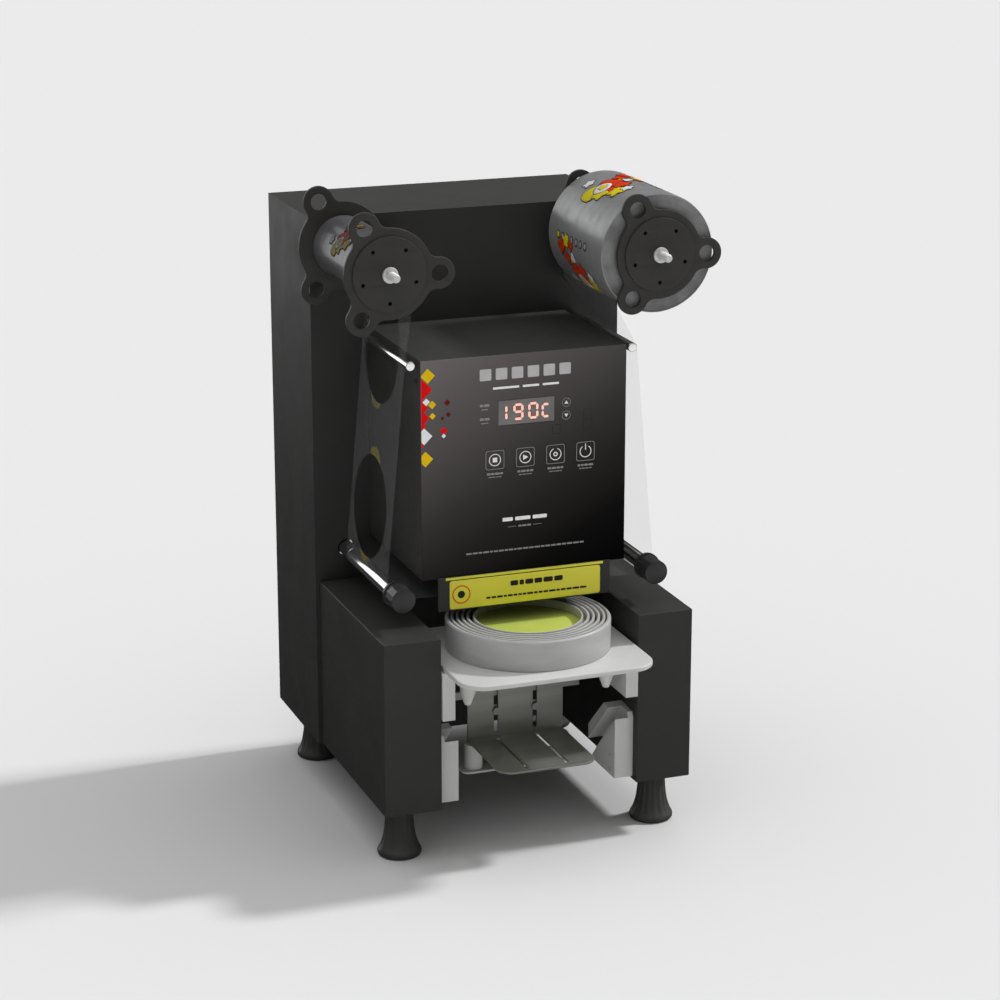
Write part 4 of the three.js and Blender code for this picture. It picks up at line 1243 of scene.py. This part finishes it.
def tray():
    low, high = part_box("tray_plate")
    ring_low, ring_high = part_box("cup_ring_1")
    x, y = (ring_low.x + ring_high.x) / 2, (ring_low.y + ring_high.y) / 2
    corner, small_corner, cup_hole = 24 * MM, 3 * MM, 44 * MM
    outline = []
    corners = (
        (low.x + corner, low.y + corner, corner, math.pi),
        (high.x - corner, low.y + corner, corner, 1.5 * math.pi),
        (high.x - small_corner, high.y - small_corner, small_corner, 0.0),
        (low.x + small_corner, high.y - small_corner, small_corner, 0.5 * math.pi),
    )
    for cx, cy, radius, start in corners:
        for k in range(17):
            angle = start + math.pi / 2 * k / 16
            outline.append((cx + radius * math.cos(angle), cy + radius * math.sin(angle)))
    top = plate("tray_top", outline, [circle(cup_hole, x, y, 128)], "Z", low.z, high.z, MAT["white"],
        1.1 * MM, 4)
    keep(top, "tray", "white_plastic", "tray_plate")

    place = Vector((x, y, 0))
    walls = ((71, 74.4), (66.9, 69.3), (62.2, 64.6), (57.5, 59.9), (52.8, 55.2), (47.7, 49.5))
    for k, (inner, outer) in enumerate(walls):
        z0, z1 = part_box(f"cup_ring_{k + 1}")[0].z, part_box(f"cup_ring_{k + 1}")[1].z
        inner, outer = inner * MM, outer * MM
        bevel = 1.5 * MM if k == 0 else 0.5 * MM
        profile = [(inner, z0), (outer, z0), (outer, z1 - bevel), (outer - bevel * 0.8, z1),
            (inner + 0.4 * MM, z1),
                   (inner, z1 - 0.4 * MM)]
        ring = turned(f"cup_ring_{k + 1}_fine", fillet(profile, 0.4 * MM, 3, closed=True), place, "Z",
            MAT["ring"], 160)
        keep(ring, "tray", "white_plastic", f"cup_ring_{k + 1}")

    low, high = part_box("cup_disc")
    radius, wall = (high.x - low.x) / 2, 2 * MM
    profile = fillet(
        [(0, high.z - wall), (radius - wall, high.z - wall), (radius - wall, low.z), (radius, low.z),
         (radius, high.z), (0, high.z)], 0.5 * MM,
    )
    keep(turned("cup_disc_fine", profile, place, "Z", MAT["lime"], 128), "tray", "lime_plastic",
        "cup_disc")
    hanger = keep(refined("tray_hanger", MAT["white"], 0.35 * MM, segments=2), "tray", "white_plastic",
        "tray_hanger")
    hanger.data.materials.append(MAT["lifter"])
    for polygon in hanger.data.polygons:  # the guide studs and what they stand on are steel
        centre = polygon.center
        if abs(centre.x - MID_X) < 25 * MM and centre.z < 160 * MM:
            polygon.material_index = 1


def lifter():
    keep(refined("lifter_plate", MAT["lifter"], 0.35 * MM), "cup_lifter", "steel", "lifter_plate")
    low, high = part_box("lifter_base")
    outline = rectangle(low.x, low.y, high.x, high.y, 8 * MM, 8)
    base = plate("lifter_foot", outline, [], "Z", low.z, low.z + 2 * MM, MAT["white"], 0.5 * MM, 3)
    keep(base, "cup_lifter", "white_plastic", "lifter_base")
    radius, post_off_middle, post_off_face = 8.3 * MM, 42 * MM, 132 * MM
    for word, side in SIDES:
        place = Vector((MID_X + side * post_off_middle, FACE_Y - post_off_face, 0))
        profile = fillet([(0, low.z + 1.9 * MM), (radius, low.z + 1.9 * MM), (radius, high.z),
            (0, high.z)], 0.4 * MM)
        post = turned(f"lifter_post_{word}", profile, place, "Z", MAT["white"], 64)
        keep(post, "cup_lifter", "white_plastic", "lifter_base")


def rails_and_brackets():
    for word, side in SIDES:
        keep(refined(f"tray_rail_{word}", MAT["white"], 0.4 * MM), "root", "white_plastic",
            f"tray_rail_{word}")
        bracket = f"cam_bracket_{word}"
        keep(refined(bracket, MAT["white"], 0.35 * MM), "root", "white_plastic", bracket)
        low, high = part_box(bracket)
        inner = high.x if side < 0 else low.x
        sunk, from_front, screws_up = 1.6 * MM, 12 * MM, (5.0 * MM, 19.9 * MM)
        for k, up in enumerate(screws_up):
            place = Vector((inner + side * sunk, low.y + from_front, low.z + up))
            head = screw(f"bracket_screw_{word}_{k}", place, (-side, 0, 0), 1.7 * MM, "steel")
            keep(head, "root", "white_plastic")


def feet():
    """Flared rubber feet with soft flutes down their sides."""
    def flutes(angle, height):
        share = min(1.0, max(0.0, (height - 4 * MM) / (10 * MM)))
        return 1.0 - 0.045 * share * (0.5 + 0.5 * math.cos(16 * angle))

    for word, _ in SIDES:
        for place_word in ("front", "rear"):
            node = f"foot_{place_word}_{word}"
            _, high, place = on_axle(node, "z")
            top = high.z
            profile = [(0, 0), (17.2 * MM, 0), (18.8 * MM, 0.6 * MM), (19.7 * MM, 2 * MM),
                (20 * MM, 4 * MM)]
            steps = 22
            for k in range(steps + 1):
                share = k / steps
                height = 5.5 * MM + (top - 8.5 * MM) * share
                radius = (12.6 + 7.1 * math.exp(-3.6 * share) - 0.25 * share) * MM
                profile.append((radius, height))
            profile += [(12.5 * MM, top - 1.2 * MM), (12.3 * MM, top), (0, top)]
            piece = turned(node + "_fine", profile, place, "Z", MAT["rubber"], 128, flutes)
            keep(piece, "root", "rubber_black", node)


# ---------------------------------------------------------------- press, drives and power


def hidden_works():
    """The pieces inside the housings, which show only when a cover is off or from below."""
    rows = (
        ("press_frame", "steel", "root", "steel"), ("press_motor", "steel", "root", "steel"),
        ("tray_motor", "steel", "root", "steel"), ("takeup_motor", "steel", "root", "steel"),
        ("crosshead", "cast", "press", "cast_aluminium"), ("press_cam", "steel", "cam", "steel"),
    )
    for node, material, body, slot in rows:
        keep(refined(node, MAT[material], 0.4 * MM, segments=2), body, slot, node)
    low, high, place = on_axle("heater_block", "z")
    radius, shoulder = (high.x - low.x) / 2, low.z + 28 * MM
    profile = fillet(
        [(0, low.z), (radius, low.z), (radius, shoulder), (9 * MM, shoulder), (9 * MM, high.z),
        (0, high.z)], 0.8 * MM,
    )
    keep(turned("heater_block_fine", profile, place, "Z", MAT["cast"], 128), "press", "cast_aluminium",
        "heater_block")
    low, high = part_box("cutter_ring")
    outer = (high.x - low.x) / 2
    inner = outer - 2.3 * MM
    profile = [(inner, low.z + 1 * MM), (inner + 0.3 * MM, low.z), (outer - 0.6 * MM, low.z + 1.4 * MM),
               (outer, low.z + 3 * MM), (outer, high.z), (inner, high.z)]
    keep(turned("cutter_ring_fine", profile, place, "Z", MAT["bright"], 160), "press", "steel",
        "cutter_ring")


def lead_screw():
    """The tray's drive screw: a three-start thread between plain ends, one turn for 15 mm of travel."""
    low, high, place = on_axle("tray_screw")
    radius = (high.x - low.x) / 2
    lead, starts, depth, plain = 15 * MM, 3, 0.09, 8 * MM
    axis = next(joint for joint in frame["joints"] if joint["name"] == "tray_screw_spin")["axis"]
    hand = 1 if axis[1] > 0 else -1
    first, last = low.y + plain, high.y - plain
    steps = int((last - first) / (0.7 * MM))
    profile = [(0, low.y), (radius - 0.5 * MM, low.y), (radius, low.y + 0.5 * MM)]
    profile += [(radius, first + (last - first) * k / steps) for k in range(steps + 1)]
    profile += [(radius, high.y - 0.5 * MM), (radius - 0.5 * MM, high.y), (0, high.y)]

    def thread(angle, height):
        """Rounded crests and hollows, which fade out at the plain ends."""
        if not first < height < last:
            return 1.0
        wave = 0.5 - 0.5 * math.cos(starts * (2 * math.pi * (height - first) / lead - hand * angle))
        fade = min(1.0, (height - first) / (2 * MM), (last - height) / (2 * MM))
        return 1.0 - depth * fade * wave ** 0.6

    screw_piece = turned("tray_screw_fine", profile, place, "Y", MAT["steel"], 48, thread)
    keep(screw_piece, "drive_screw", "steel", "tray_screw")


def power_side():
    keep(refined("power_inlet", MAT["plastic"], 0.5 * MM), "root", "dark_plastic", "power_inlet")
    keep(refined("power_rocker", MAT["plastic"], 1.0 * MM), "rocker", "dark_plastic", "power_rocker")
    spot = middle("power_inlet")
    back = COLUMN[1].y
    for k, (dx, dz) in enumerate(((-7, -1.5), (7, -1.5), (0, 2.5))):
        x, z = spot.x + dx * MM, spot.z + dz * MM
        pin = plate(
            f"inlet_pin_{k}", rectangle(x - 1 * MM, z - 2 * MM, x + 1 * MM, z + 2 * MM, 0.4 * MM, 3),
            [], "Y",
            back - 16.2 * MM, back - 3 * MM, MAT["bright"], 0.4 * MM,
        )
        keep(pin, "root", "dark_plastic")


# ---------------------------------------------------------------- stage


def card(name, corners, strength):
    """A white card that shows only as a reflection in what is shiny."""
    mesh = bpy.data.meshes.new(name)
    mesh.from_pydata(corners, [], [(0, 1, 2, 3)])
    surface = Surface(name, (0, 0, 0), 1.0, Specular_IOR_Level=0.0, Emission_Strength=strength)
    surface.put("Emission Color", (1, 1, 1, 1))
    made = add_object(name, mesh, surface.material)
    made.visible_camera = made.visible_diffuse = made.visible_shadow = False
    made.visible_transmission = made.visible_volume_scatter = False


def stage():
    """A plain pale floor, a low soft sun from the machine's right, and even light all round."""
    mesh = bpy.data.meshes.new("floor")
    reach = 60.0
    mesh.from_pydata([(-reach, -reach, 0), (reach, -reach, 0), (reach, reach, 0), (-reach, reach, 0)],
        [], [(0, 1, 2, 3)])
    surface = Surface("floor_paper", (0.8, 0.8, 0.8), 0.9, Specular_IOR_Level=0.0)
    floor = add_object("floor", mesh, surface.material)
    floor.visible_glossy = False

    world = bpy.data.worlds.new("studio")
    world.use_nodes = True
    tree = world.node_tree
    direction = tree.nodes.new("ShaderNodeTexCoord")
    split = tree.nodes.new("ShaderNodeSeparateXYZ")
    ramp = tree.nodes.new("ShaderNodeValToRGB")
    tree.links.new(direction.outputs["Generated"], split.inputs["Vector"])
    tree.links.new(split.outputs["Z"], ramp.inputs["Fac"])
    tree.links.new(ramp.outputs["Color"], tree.nodes["Background"].inputs["Color"])
    levels = ((0.0, 0.0), (0.25, 0.02), (0.45, 0.16), (0.7, 0.6), (1.0, 1.0))
    for k, (position, level) in enumerate(levels):
        element = ramp.color_ramp.elements[k] if k < 2 else ramp.color_ramp.elements.new(position)
        element.position = position
        element.color = (level, level, level, 1)
    tree.nodes["Background"].inputs["Strength"].default_value = 1.16
    SCENE.world = world

    sun = bpy.data.lights.new("sun", "SUN")
    sun.energy = 1.95
    sun.angle = math.radians(6)
    lamp = bpy.data.objects.new("sun", sun)
    SCENE.collection.objects.link(lamp)
    height = math.radians(41)
    coming_from = Vector((math.cos(height), 0.0, math.sin(height)))
    lamp.rotation_euler = coming_from.to_track_quat("Z", "Y").to_euler()
    SCENE.view_settings.view_transform = "Standard"
    card("card_front", [(-1.5, -4.5, 0.002), (3.0, -4.5, 0.002), (3.0, -0.45, 0.002),
        (-1.5, -0.45, 0.002)], 0.85)
    card("card_back", [(-2.2, 2.5, 0.0), (-0.1, 2.5, 0.0), (-0.1, 2.5, 1.6), (-2.2, 2.5, 1.6)], 1.7)


def camera():
    """A long lens, 20 degrees round to the machine's left and 16 degrees up."""
    data = bpy.data.cameras.new("camera")
    data.lens = 101.15
    data.clip_start, data.clip_end = 0.05, 200.0
    azimuth, elevation, distance = math.radians(-20.19), math.radians(16.40), 2.6527
    target = Vector((MID_X + 32.4 * MM, FACE_Y, 271.5 * MM))
    back = Vector((
        math.sin(azimuth) * math.cos(elevation), -math.cos(azimuth) * math.cos(elevation),
        math.sin(elevation),
    ))
    eye = bpy.data.objects.new("camera", data)
    eye.location = target + back * distance
    eye.rotation_mode = "QUATERNION"
    eye.rotation_quaternion = (-back).to_track_quat("-Z", "Y")
    SCENE.collection.objects.link(eye)
    SCENE.camera = eye


camera()
stage()
housings()
housing_screws()
keys()
display()
panel_print()
diamonds()
guard_label()
guides()
reels()
film()
tray()
lifter()
rails_and_brackets()
feet()
hidden_works()
lead_screw()
power_side()
